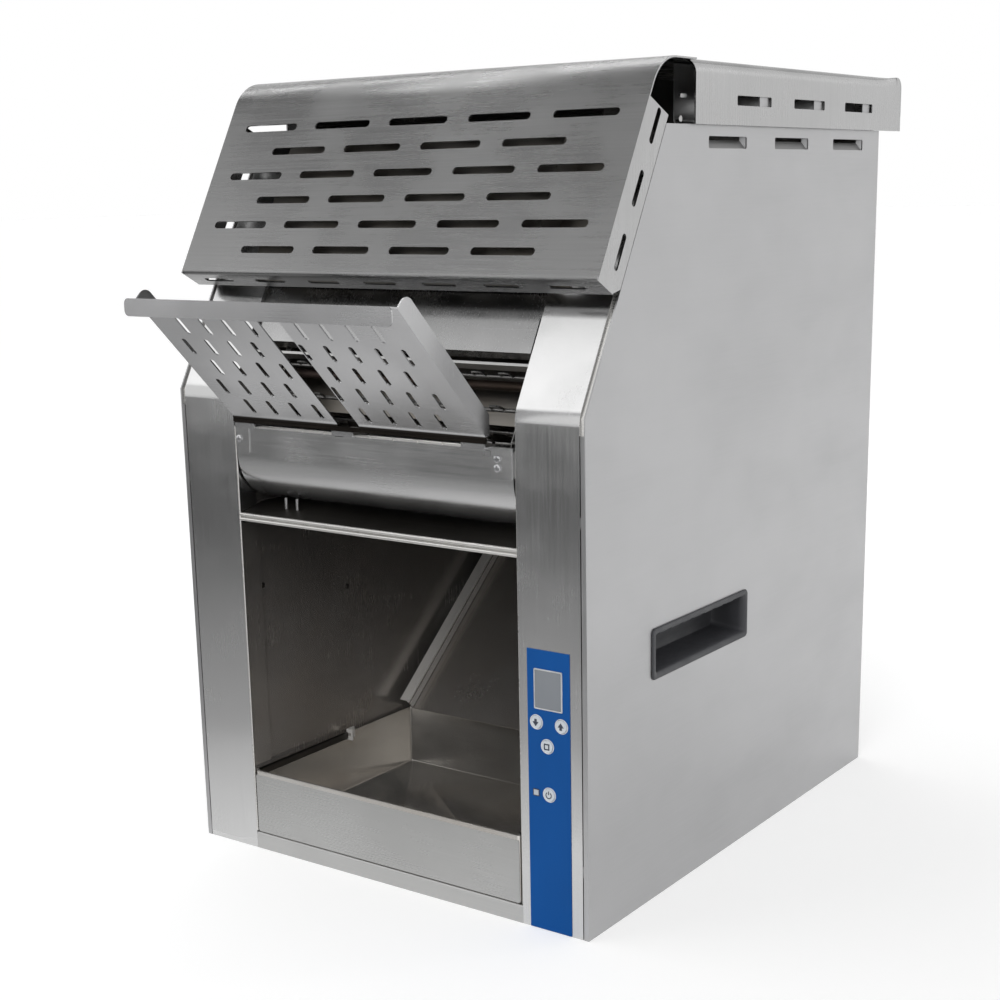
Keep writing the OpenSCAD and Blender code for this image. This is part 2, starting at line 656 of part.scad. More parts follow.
// ---- Feed plate and heating ----
feed_g = 4;
feed_h = 46;
feed_half = column_in - 4;
module feed_plate() piece(satin) slope() {
    block([-feed_half, feed_g, feed_h], [feed_half, feed_g + sheet_t, heater_h]);
    block([-feed_half, feed_g, feed_h], [feed_half, feed_g + 12, feed_h + sheet_t]);
    both() block([feed_half - 1, feed_g, heater_h - 20], [column_in - seat, feed_g + sheet_t, heater_h]);
}
bar_lo = [seat - column_in, 6, 37];
bar_hi = [column_in - seat, 16, 39];
module feed_bar() piece(steel) slope() block(bar_lo, bar_hi);
box_half = column_in - 5;
box_g = 9 - hood_gap;
module front_reflector() piece(satin) slope() {
    block([-box_half, box_g, heater_h], [box_half, box_g + liner_t, heater_h + heater_len]);
    for (h = [heater_h, heater_h + heater_len - liner_t])
        block([-box_half, box_g, h], [box_half, -slide, h + liner_t]);
    both() {
        block([box_half - liner_t, box_g, heater_h], [box_half, -slide, heater_h + heater_len]);
        block([box_half - liner_t, -slide - liner_t, heater_h],
            [box_half + 22, -slide, heater_h + heater_len]);
    }
}
function front_rod_h(i) = heater_h + heater_len / 2 + (i - (rod_count - 1) / 2) * front_rod_pitch;
function rear_rod_h(i) = lower_h + shaft_spacing / 2 + (i - (rod_count - 1) / 2) * rear_rod_pitch;
insulator_r = rod_d / 2 + 3;
module front_heaters() piece(brass) slope() for (i = [0:rod_count - 1])
    rod_x(-box_half + liner_t + 2, 2 * (box_half - liner_t - 2), [front_rod_g, front_rod_h(i)], rod_d / 2);
module rear_heaters() piece(brass) slope() for (i = [0:rod_count - 1])
    rod_x(2 - wall_in, 2 * wall_in - 4, [rear_rod_g, rear_rod_h(i)], rod_d / 2);
module heater_insulators() piece(white) slope() both() for (i = [0:rod_count - 1]) {
    ring_x(box_half - liner_t - seat - 8, 8, [front_rod_g, front_rod_h(i)], insulator_r, rod_d / 2 + seat);
    ring_x(wall_in - seat - 8, 8, [rear_rod_g, rear_rod_h(i)], insulator_r, rod_d / 2 + seat);
}
module rear_reflector() piece(satin) slope()
    block([seat - wall_in, shaft_g + 4, 12],
        [wall_in - seat, shaft_g + 4 + liner_t, upper_h - sprocket_r - 10]);
// The wires that keep the bread off the front heating rods
wire_r = 1.4;
wire_h = [heater_h + 1, upper_h + 2];
module bread_guard() piece(steel) slope() {
    for (x = [-120:30:120]) translate([x, feed_g - 1, wire_h[0]])
        cylinder(h = wire_h[1] - wire_h[0], r = wire_r);
    for (h = [wire_h[0] + 5, wire_h[1] - 8])
        rod_x(0.2 - column_in, 2 * column_in - 0.4, [feed_g + 0.6, h], wire_r);
}
deflector_r = shaft_g - feed_g - 1;
module top_deflector() piece(satin) along_x(seat - wall_in, 2 * (wall_in - seat))
    polygon(concat(arc(upper_c, deflector_r + liner_t, 138, 0, 24), arc(upper_c, deflector_r, 0, 138, 24)));

// ---- Conveyor ----
module shaft(x0, x1, c) rod_x(x0, x1 - x0, c, shaft_d / 2);
module sprocket(x, w, c, r) difference() {
    union() {
        rod_x(x - w / 2, w, c, r);
        rod_x(x - w, 2 * w, c, shaft_d / 2 + 4);
    }
    rod_x(x - w - cut, 2 * w + 2 * cut, c, shaft_d / 2 + running);
    for (i = [0:5]) translate([0, c[0], c[1]]) rotate([i * 60, 0, 0])
        rod_x(x - w, 2 * w, [r * 0.62, 0], r * 0.15);
}
module upper_shaft() piece(grey) shaft(-drive_x - 8, shaft_end, upper_c);
module lower_shaft() piece(grey) shaft(-shaft_end, shaft_end, lower_c);
module upper_sprockets() piece(grey) both() sprocket(chain_x, 5, upper_c, sprocket_r);
module lower_sprockets() piece(grey) both() sprocket(chain_x, 5, lower_c, sprocket_r);
module driven_wheel() piece(grey) sprocket(-drive_x, 4, upper_c, driven_r);
module shaft_bearings() piece(brass) both() for (c = [lower_c, upper_c]) {
    ring_x(wall_in - 2, 2 + liner_t + 2 * seat, c, shaft_d / 2 + 4, shaft_d / 2 + running);
    ring_x(wall_out + seat, 3, c, shaft_d / 2 + 8, shaft_d / 2 + running);
}
module band(x, w, c1, r1, c2, r2, t) along_x(x, w) difference() {
    polygon(belt(c1, r1 + t, c2, r2 + t, 24));
    polygon(belt(c1, r1, c2, r2, 24));
}
module conveyor_chains() piece(grey) both()
    band(chain_x - chain_w / 2, chain_w, lower_c, chain_in, upper_c, chain_in, chain_out - chain_in);
// The place of a rack at distance s round the loop, and the way it points
loop_half = shaft_spacing + PI * rack_r;
function rack_place(s) = s < shaft_spacing ? [-rack_r, lower_h + s, 0]
    : s < loop_half ? let(a = (s - shaft_spacing) / rack_r * 180 / PI)
        [-rack_r * cos(a), upper_h + rack_r * sin(a), a]
    : s < loop_half + shaft_spacing ? [rack_r, upper_h - (s - loop_half), 180]
    : let(a = (s - loop_half - shaft_spacing) / rack_r * 180 / PI)
        [rack_r * cos(a), lower_h - rack_r * sin(a), 180 + a];
rack_half = chain_x - chain_w / 2 - seat;
module bread_racks() piece(steel) slope() for (i = [0:rack_count - 1]) {
    place = rack_place((i + 0.35) * 2 * loop_half / rack_count);
    translate([0, shaft_g + place[0], place[1]]) rotate([-place[2], 0, 0]) {
        rod_x(-rack_half, 2 * rack_half, [0, 0], 1.5);
        for (k = [-2:2]) translate([k * 44, 0, 0]) rotate([90, 0, 0]) cylinder(h = tine_h, r = 1.2);
    }
}

// ---- Drive ----
motor_r = 29;
motor_shaft_r = 4;
module gear_motor() piece(black) {
    rod_x(-wall_in + 18, 62, motor_c, motor_r);
    difference() {
        block([-wall_in + seat, motor_c[0] - 30, motor_c[1] - 38],
            [-wall_in + 20, motor_c[0] + 30, motor_c[1] + 32]);
        rod_x(-wall_in - cut, 14, motor_c, motor_shaft_r + running);
    }
}
module motor_bracket() piece(steel) {
    bracket_top = motor_c[1] - motor_r - seat;
    block([-wall_in + 26, rear_wall_y + liner_t + seat, bracket_top - 3],
        [-wall_in + 70, motor_c[0] + 26, bracket_top]);
    block([-wall_in + 26, rear_wall_y + liner_t + seat, bracket_top - 50],
        [-wall_in + 70, rear_wall_y + liner_t + 3, bracket_top]);
}
module motor_wheel() piece(grey) {
    rod_x(-drive_x - 5, drive_x + 5 - wall_in + 10, motor_c, motor_shaft_r);
    rod_x(-drive_x - 2, 4, motor_c, driver_r);
    rod_x(-drive_x - 4, 8, motor_c, motor_shaft_r + 3);
}
module drive_chain() piece(grey)
    band(-drive_x - 3, 6, upper_c, driven_r + 0.6, motor_c, driver_r + 0.6, 3.4);

// ---- Cooling fan ----
fan_y = body_d - sheet_t - seat - fan_d;
fan_hub_r = 17;
fan_tip_r = fan_w / 2 - 4.5;
fan_pin_r = 2;
module fan_frame() piece(black) {
    difference() {
        along_y(fan_y, fan_d) translate(fan_c) round_box([-fan_w / 2, -fan_w / 2], [fan_w / 2, fan_w / 2], 5);
        rod_y(fan_y - cut, fan_d + 2 * cut, fan_c, fan_w / 2 - 2.5);
    }
    rod_y(fan_y, 2, fan_c, fan_hub_r);
    for (a = [30, 150, 270]) translate([fan_c[0], 0, fan_c[1]]) rotate([0, a, 0])
        block([fan_hub_r - 2, fan_y, -2], [fan_w / 2 - 1.5, fan_y + 2, 2]);
    rod_y(fan_y + 1, fan_d - 6, fan_c, fan_pin_r);
}
blades = 7;
module fan_rotor() piece(black) difference() {
    union() {
        rod_y(fan_y + 3, fan_d - 7, fan_c, fan_hub_r);
        for (i = [0:blades - 1]) translate([fan_c[0], fan_y + fan_d / 2 - 0.5, fan_c[1]])
            rotate([0, i * 360 / blades, 0]) rotate([40, 0, 0])
                block([fan_hub_r - 2, -0.8, -9], [fan_tip_r - 2.5, 0.8, 9]);
    }
    rod_y(fan_y, fan_d, fan_c, fan_pin_r + running);
}
module fan_guard() piece(steel) {
    for (r = [12, 24, 36]) translate([fan_c[0], body_d + 1.6, fan_c[1]]) rotate([90, 0, 0])
        rotate_extrude() translate([r, 0]) circle(r = 1.2);
    for (a = [45, 135]) translate([fan_c[0], body_d + 1.2, fan_c[1]]) rotate([0, a, 0])
        rod_x(-fan_w / 2 - 8, fan_w + 16, [0, 0], 1.1);
}

// ---- Controls on the right column ----
module control_holes(depth) {
    for (i = [0:3]) rod_y(-cut, depth + 2 * cut, [button_x[i], button_z[i]], button_d / 2 + slide);
    block([overlay_x - display_w / 2 - seat, -cut, display_z - display_h / 2 - seat],
        [overlay_x + display_w / 2 + seat, depth + cut, display_z + display_h / 2 + seat]);
    block([light_c[0] - 2 - seat, -cut, light_c[1] - 2 - seat],
        [light_c[0] + 2 + seat, depth + cut, light_c[1] + 2 + seat]);
}
module control_overlay() piece(blue) difference() {
    block([overlay_x - overlay_w / 2, -overlay_t, 0.5], [overlay_x + overlay_w / 2, 0, overlay_h]);
    control_holes(sheet_t);
}
module display_window() piece(grey)
    block([overlay_x - display_w / 2, -overlay_t - 0.4, display_z - display_h / 2],
        [overlay_x + display_w / 2, 3, display_z + display_h / 2]);
module status_light() piece(white)
    block([light_c[0] - 2, -overlay_t - 0.4, light_c[1] - 2], [light_c[0] + 2, 5, light_c[1] + 2]);
module button(i) {
    rod_y(-overlay_t - button_travel - 0.6, sheet_t + overlay_t + button_travel + 2,
        [button_x[i], button_z[i]], button_d / 2);
    rod_y(sheet_t + seat + 0.2, 1.2, [button_x[i], button_z[i]], button_d / 2 + 1.3);
    rod_y(sheet_t, board_y - 7 - sheet_t - slide - button_travel, [button_x[i], button_z[i]], 2.2);
}
module button_up() piece(white) button(0);
module button_down() piece(white) button(1);
module button_mode() piece(white) button(2);
module button_power() piece(white) button(3);
module control_board() piece("#2f6b3c") {
    block([overlay_x - 19, board_y, 92], [overlay_x + 20, board_y + 1.6, overlay_h - 4]);
    for (i = [0:3]) rod_y(board_y - 7, 7.5, [button_x[i], button_z[i]], 2.4);
    block([overlay_x - display_w / 2 + 0.5, 3 + slide, display_z - display_h / 2 + 1],
        [overlay_x + display_w / 2 - 0.5, board_y + 0.5, display_z + display_h / 2 - 1]);
    for (x = [-15, 16], z = [97, overlay_h - 9])
        rod_y(sheet_t + seat, board_y - sheet_t, [overlay_x + x, z], 2.5);
}
module terminal_block() piece(white) difference() {
    block([wall_out + 12, body_d - 140, floor_z], [wall_out + 42, body_d - 88, 24]);
    for (k = [0:3]) translate([wall_out + 27, body_d - 132 + k * 12, 14]) cylinder(h = 20, r = 2.4);
}
module cord_gland() piece(black) {
    ring_y(body_d + seat, 9, gland_c, gland_r + 4, gland_r - 5);
    ring_y(body_d - 6, 6 + 2 * seat, gland_c, gland_r - seat, gland_r - 5);
}

side_panel_left();
side_panel_right();
handle_cup_left();
handle_cup_right();
front_column_left();
front_column_right();
control_overlay();
display_window();
button_up();
button_down();
button_mode();
button_power();
status_light();
control_board();
top_cover();
cover_rails();
back_panel();
back_screws();
base_pan();
leg_nuts();
base_rail();
inner_wall_left();
inner_wall_right();
return_chute();
rear_wall();
collection_tray();
tray_rails();
front_guard();
guard_brackets();
guard_screws();
lower_shroud();
shroud_screws();
loading_ramp();
feed_plate();
feed_bar();
front_reflector();
front_heaters();
rear_heaters();
heater_insulators();
rear_reflector();
bread_guard();
top_deflector();
upper_shaft();
upper_sprockets();
driven_wheel();
lower_shaft();
lower_sprockets();
shaft_bearings();
conveyor_chains();
bread_racks();
gear_motor();
motor_bracket();
motor_wheel();
drive_chain();
fan_frame();
fan_rotor();
fan_guard();
terminal_block();
cord_gland();
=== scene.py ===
import math

import bmesh
import bpy
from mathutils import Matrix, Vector
from mathutils.geometry import tessellate_polygon


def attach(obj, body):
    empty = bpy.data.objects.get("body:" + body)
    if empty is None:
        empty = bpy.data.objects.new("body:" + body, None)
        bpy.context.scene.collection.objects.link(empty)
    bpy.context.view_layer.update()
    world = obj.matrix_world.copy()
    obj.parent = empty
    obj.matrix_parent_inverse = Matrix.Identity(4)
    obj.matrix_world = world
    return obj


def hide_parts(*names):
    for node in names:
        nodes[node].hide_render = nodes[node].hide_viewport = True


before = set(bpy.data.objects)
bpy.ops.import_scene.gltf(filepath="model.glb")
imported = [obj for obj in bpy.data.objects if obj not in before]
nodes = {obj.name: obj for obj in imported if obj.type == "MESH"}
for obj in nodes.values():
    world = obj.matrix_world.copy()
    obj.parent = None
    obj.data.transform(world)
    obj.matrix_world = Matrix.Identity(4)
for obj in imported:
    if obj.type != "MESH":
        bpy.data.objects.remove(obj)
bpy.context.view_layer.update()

# ---------------------------------------------------------------- places
# Lengths are in millimetres here, with Y measured from the front face of the
# columns, and are turned into the frame's metres when a mesh is made.
DEPTH = 468.0
SLANT = math.radians(29)
SLANT_Z = 375.0


def at(h, g):
    """(y, z) of a place h up the slanted front and g behind it."""
    return (
        h * math.sin(SLANT) + g * math.cos(SLANT),
        SLANT_Z + h * math.cos(SLANT) - g * math.sin(SLANT),
    )


def metres(p):
    return Vector((p[0], p[1] - DEPTH / 2, p[2])) * 0.001


# ---------------------------------------------------------------- materials
class Nodes:
    """A node tree, with short calls for the nodes in it."""

    def __init__(self, tree):
        self.tree = tree

    def add(self, kind, **values):
        n = self.tree.nodes.new(kind)
        for key, value in values.items():
            setattr(n, key, value)
        return n

    def feed(self, socket, value):
        if isinstance(value, bpy.types.NodeSocket):
            self.tree.links.new(value, socket)
        else:
            socket.default_value = value

    def give(self, n, **values):
        """Feeds a node's inputs by their names, in which _ stands for a space."""
        for key, value in values.items():
            self.feed(n.inputs[key.replace("_", " ")], value)

    def choose(self, share, a, b):
        """One of two vectors, by a share that is 0 or 1."""
        n = self.add("ShaderNodeMix", data_type="VECTOR")
        for socket, value in zip((n.inputs[0], n.inputs[4], n.inputs[5]), (share, a, b)):
            self.feed(socket, value)
        return n.outputs[1]

    def span(self, value, lo, hi, out_lo=0.0, out_hi=1.0):
        n = self.add("ShaderNodeMapRange")
        self.give(n, Value=value, From_Min=lo, From_Max=hi, To_Min=out_lo, To_Max=out_hi)
        return n.outputs["Result"]

    def maths(self, op, a, b):
        n = self.add("ShaderNodeMath", operation=op)
        self.feed(n.inputs[0], a)
        self.feed(n.inputs[1], b)
        return n.outputs[0]

    def blend(self, share, a, b, how="MIX"):
        n = self.add("ShaderNodeMix", data_type="RGBA", blend_type=how)
        self.feed(n.inputs["Factor"], share)
        for socket, v in zip((n.inputs[6], n.inputs[7]), (a, b)):
            self.feed(socket, v if isinstance(v, bpy.types.NodeSocket) else (*v, 1.0))
        return n.outputs[2]


class Mat(Nodes):
    """A Principled material, with noise, cells and bump in the object's own space."""

    def __init__(self, name, **values):
        self.material = bpy.data.materials.new(name)
        self.material.use_nodes = True
        super().__init__(self.material.node_tree)
        self.shader = self.tree.nodes["Principled BSDF"]
        self.give(self.shader, **values)
        source = self.add("ShaderNodeTexCoord")
        self.coords = source.outputs["Object"]
        self.normals = source.outputs["Normal"]

    def mapped(self, scale, turn=(0, 0, 0)):
        n = self.add("ShaderNodeMapping")
        self.give(n, Vector=self.coords, Scale=scale, Rotation=turn)
        return n.outputs["Vector"]

    def noise(self, scale, detail=3.0, rough=0.5, turn=(0, 0, 0), distortion=0.0):
        """Noise with its own number of cells per metre along each axis."""
        if isinstance(scale, (int, float)):
            scale = (scale,) * 3
        n = self.add("ShaderNodeTexNoise")
        self.give(n, Vector=self.mapped(scale, turn), Scale=1.0, Detail=detail, Roughness=rough,
                  Distortion=distortion)
        return n.outputs["Fac"]

    def grain_noise(self, scales, ends, turn, detail, rough):
        """Noise along the grain, which turns on the faces that the grain would meet
        end on, as it does where a brushed sheet is folded."""
        return self.noise(self.choose(ends, *scales), detail, rough, turn)

    def cells(self, scale, feature="F1"):
        n = self.add("ShaderNodeTexVoronoi", feature=feature)
        self.give(n, Vector=self.mapped((scale,) * 3), Scale=1.0)
        return n.outputs["Distance"]

    def bump(self, height, strength, distance, over=None):
        n = self.add("ShaderNodeBump")
        self.give(n, Strength=strength, Distance=distance, Height=height)
        if over is not None:
            self.feed(n.inputs["Normal"], over)
        return n.outputs["Normal"]

    def finish(self, colour, rough, normal):
        self.give(self.shader, Base_Color=colour, Roughness=rough, Normal=normal)
        return self.material


# The ways of the grain: along an axis, or S, up the slanted front. Each leans a little
# off its axis, so that it has a cross product with every face, also with one that is
# square to the grain.
GRAIN_WAY = {
    "X": (1, 0.05, 0.02), "Y": (0.03, 1, 0.05), "Z": (0.02, 0.05, 1),
    "S": (0.04, math.sin(SLANT), math.cos(SLANT)),
}
# The grain of the faces that the first would meet end on, and how much of such a
# face's normal lies along the grain
END_GRAIN = {"X": "Z", "Y": "Z", "Z": "X", "S": "Z"}
END_ON = 0.75
# How soft the edges of the painted shadow band are, in metres
PAINTED_SHADOW_EDGE = 0.0006


def grained(along, across, grain):
    """Cells per metre along X, Y and Z, for noise that is drawn out along the grain."""
    long_axis = "Z" if grain == "S" else grain
    return tuple(along if axis == long_axis else across for axis in "XYZ")


def scaled(c, k):
    return tuple(min(1.0, x * k) for x in c)


def end_faces(m, grain):
    """Is 1 on the faces that the grain would meet end on, and 0 on the others. The
    grain of the slanted front turns on the faces that look along X."""
    facing = m.add("ShaderNodeSeparateXYZ")
    m.feed(facing.inputs[0], m.normals)
    along = m.maths("ABSOLUTE", facing.outputs["X" if grain == "S" else grain], 0.0)
    return m.maths("GREATER_THAN", along, END_ON)


def draw_highlight(m, grain, ends):
    """Draws a highlight out across the grain."""
    way = m.add("ShaderNodeVectorTransform", vector_type="VECTOR",
                convert_from="OBJECT", convert_to="WORLD")
    m.feed(way.inputs[0], m.choose(ends, GRAIN_WAY[grain], GRAIN_WAY[END_GRAIN[grain]]))
    across = m.add("ShaderNodeVectorMath", operation="CROSS_PRODUCT")
    m.feed(across.inputs[0], m.add("ShaderNodeNewGeometry").outputs["Normal"])
    m.feed(across.inputs[1], way.outputs[0])
    m.give(m.shader, Tangent=across.outputs[0])


def painted_shadow_mask(m, z, foot, top):
    """The mask of a painted shadow: is 1 between two heights, in metres, and 0 elsewhere."""
    below = m.span(z, top, top - PAINTED_SHADOW_EDGE)
    above = m.span(z, foot, foot + PAINTED_SHADOW_EDGE)
    return m.maths("MULTIPLY", below, above)


def steel(name, tone, rough, grain, contrast=0.1, cloud=0.08, aniso=0.55,
          stain=None, stain_share=0.35, scratch=0.15, painted_shadow_heights=None, metallic=1.0,
          painted_top_shade=None, painted_grain_shade=1.0, relief=0.22):
    """Brushed stainless steel: grain lines along one way, cloudy handling marks,
    sparse scratches, and for parts near the heat a tint. Given a band of two heights,
    in metres, it is blackened there as a painted shadow; given a span of two heights,
    it darkens upwards from the lower to the upper as painted shade; and a shade factor
    below 1 is painted shade on the faces along the grain, next to those at the grain's
    ends. Relief is how deep the grain is cut."""
    m = Mat(name, Metallic=metallic, Anisotropic=aniso)
    turn = (SLANT, 0, 0) if grain == "S" else (0, 0, 0)
    ends = end_faces(m, grain)
    draw_highlight(m, grain, ends)
    ways = (grain, END_GRAIN[grain])
    fine = m.grain_noise([grained(14, 900, g) for g in ways], ends, turn, 4, 0.65)
    broad = m.grain_noise([grained(2.2, 120, g) for g in ways], ends, turn, 2, 0.5)
    patch = m.noise(7.0, 3, 0.55)
    colour = m.blend(m.span(fine, 0.3, 0.7), scaled(tone, 1 - contrast), scaled(tone, 1 + contrast))
    colour = m.blend(m.span(broad, 0.3, 0.7, 0, 0.6), colour, scaled(tone, 1 + contrast * 0.4))
    colour = m.blend(m.span(patch, 0.35, 0.7, 0, 1.0), colour, scaled(tone, 1 - cloud))
    lines = m.noise((3.0, 420, 420), 1, 0.4, (0.3, 0.5, 0.9))
    mark = m.span(lines, 0.70, 0.73)
    colour = m.blend(m.maths("MULTIPLY", mark, scratch), colour, scaled(tone, 1.35))
    if stain:
        heat = m.noise(11.0, 4, 0.6, distortion=0.6)
        colour = m.blend(m.span(heat, 0.42, 0.68, 0, stain_share), colour, stain)
    height = m.add("ShaderNodeSeparateXYZ")
    m.feed(height.inputs[0], m.coords)
    z = height.outputs["Z"]
    # Painted shade: darker towards the top, from the lower height up to the upper
    if painted_top_shade:
        colour = m.blend(m.span(z, *painted_top_shade, 0, 0.8), colour, scaled(tone, 0.16))
    # Painted shade on the faces along the grain, next to those at its ends
    if painted_grain_shade < 1:
        colour = m.blend(1.0, colour, m.blend(ends, (painted_grain_shade,) * 3, (1, 1, 1)), "MULTIPLY")
    # Painted shadow: a near-black band between two heights
    if painted_shadow_heights:
        colour = m.blend(painted_shadow_mask(m, z, *painted_shadow_heights), colour, (0.035, 0.03, 0.026))
    smear = m.noise((16, 9, 22), 3, 0.5, (0.4, 0.2, 0.1))
    r = m.span(fine, 0.25, 0.75, rough * 0.85, rough * 1.2)
    r = m.maths("ADD", r, m.span(smear, 0.45, 0.75, 0.0, 0.09))
    normal = m.bump(fine, relief, 0.00006)
    if scratch:
        normal = m.bump(mark, 2 * scratch, 0.00004, normal)
    return m.finish(colour, r, normal)


def machined(name, tone, rough=0.3, oil=0.25):
    m = Mat(name, Metallic=1.0)
    rings = m.noise((30, 700, 700), 3, 0.6)
    film = m.noise(60, 4, 0.6)
    colour = m.blend(m.span(rings, 0.3, 0.7), scaled(tone, 0.85), scaled(tone, 1.12))
    colour = m.blend(m.span(film, 0.45, 0.7, 0, oil), colour, (0.05, 0.04, 0.03))
    return m.finish(colour, m.span(film, 0.3, 0.7, rough * 0.8, rough * 1.5),
                    m.bump(rings, 0.25, 0.00008))


def plated(name, tone, rough=0.22):
    m = Mat(name, Metallic=1.0)
    spots = m.noise(900, 3, 0.6)
    haze = m.noise(55, 3, 0.5)
    colour = m.blend(m.span(haze, 0.35, 0.7), tone, scaled(tone, 0.8))
    return m.finish(colour, m.span(spots, 0.3, 0.7, rough * 0.7, rough * 1.5),
                    m.bump(spots, 0.15, 0.00005))


def oxidised(name, tone, tint):
    m = Mat(name, Metallic=0.85)
    scale = m.noise((90, 260, 260), 5, 0.65)
    band = m.noise((12, 3, 3), 3, 0.6)
    colour = m.blend(m.span(scale, 0.3, 0.7), tone, scaled(tone, 1.6))
    colour = m.blend(m.span(band, 0.4, 0.65, 0, 0.6), colour, tint)
    return m.finish(colour, m.span(scale, 0.3, 0.7, 0.42, 0.68), m.bump(scale, 0.4, 0.0001))


def moulded(name, tone, rough=0.5, grain=2600, depth=0.00006, scuff=0.12, sheen_tone=1.25):
    """Moulded plastic or ceramic with a fine surface grain and scuffed patches."""
    m = Mat(name)
    dots = m.noise(grain, 3, 0.6)
    wear = m.noise(38, 4, 0.65, distortion=0.4)
    colour = m.blend(m.span(dots, 0.3, 0.7), scaled(tone, 0.93), scaled(tone, 1.07))
    colour = m.blend(m.span(wear, 0.5, 0.75, 0, scuff * 3), colour, scaled(tone, sheen_tone))
    r = m.maths("ADD", m.span(dots, 0.3, 0.7, rough * 0.9, rough * 1.1),
                m.span(wear, 0.4, 0.7, -scuff * 0.5, scuff))
    return m.finish(colour, r, m.bump(dots, 0.35, depth))


def film(name, tone):
    """A printed film with a satin face."""
    m = Mat(name, Specular_IOR_Level=0.1)
    weave = m.noise(3200, 2, 0.5)
    broad = m.noise((18, 18, 6), 3, 0.5)
    colour = m.blend(m.span(broad, 0.3, 0.7), scaled(tone, 0.9), scaled(tone, 1.1))
    colour = m.blend(m.span(weave, 0.35, 0.65, 0, 0.18), colour, scaled(tone, 1.25))
    return m.finish(colour, m.span(broad, 0.3, 0.7, 0.34, 0.46), m.bump(weave, 0.2, 0.00003))


def painted(name, tone):
    m = Mat(name, Coat_Weight=0.15, Coat_Roughness=0.3)
    peel = m.noise(420, 2, 0.5)
    dust = m.noise(45, 5, 0.7)
    colour = m.blend(m.span(dust, 0.45, 0.8, 0, 0.5), tone, scaled(tone, 1.9))
    return m.finish(colour, m.span(dust, 0.3, 0.7, 0.35, 0.6), m.bump(peel, 0.3, 0.0001))


def board(name):
    """Solder mask over copper tracks."""
    m = Mat(name, Coat_Weight=0.3, Coat_Roughness=0.15)
    tracks = m.cells(260, "DISTANCE_TO_EDGE")
    pads = m.cells(190)
    colour = m.blend(m.span(tracks, 0.04, 0.09), (0.05, 0.23, 0.10), (0.02, 0.12, 0.05))
    colour = m.blend(m.span(pads, 0.16, 0.12), colour, (0.55, 0.52, 0.42))
    return m.finish(colour, m.span(pads, 0.1, 0.2, 0.25, 0.45), m.bump(tracks, 0.3, 0.00008))


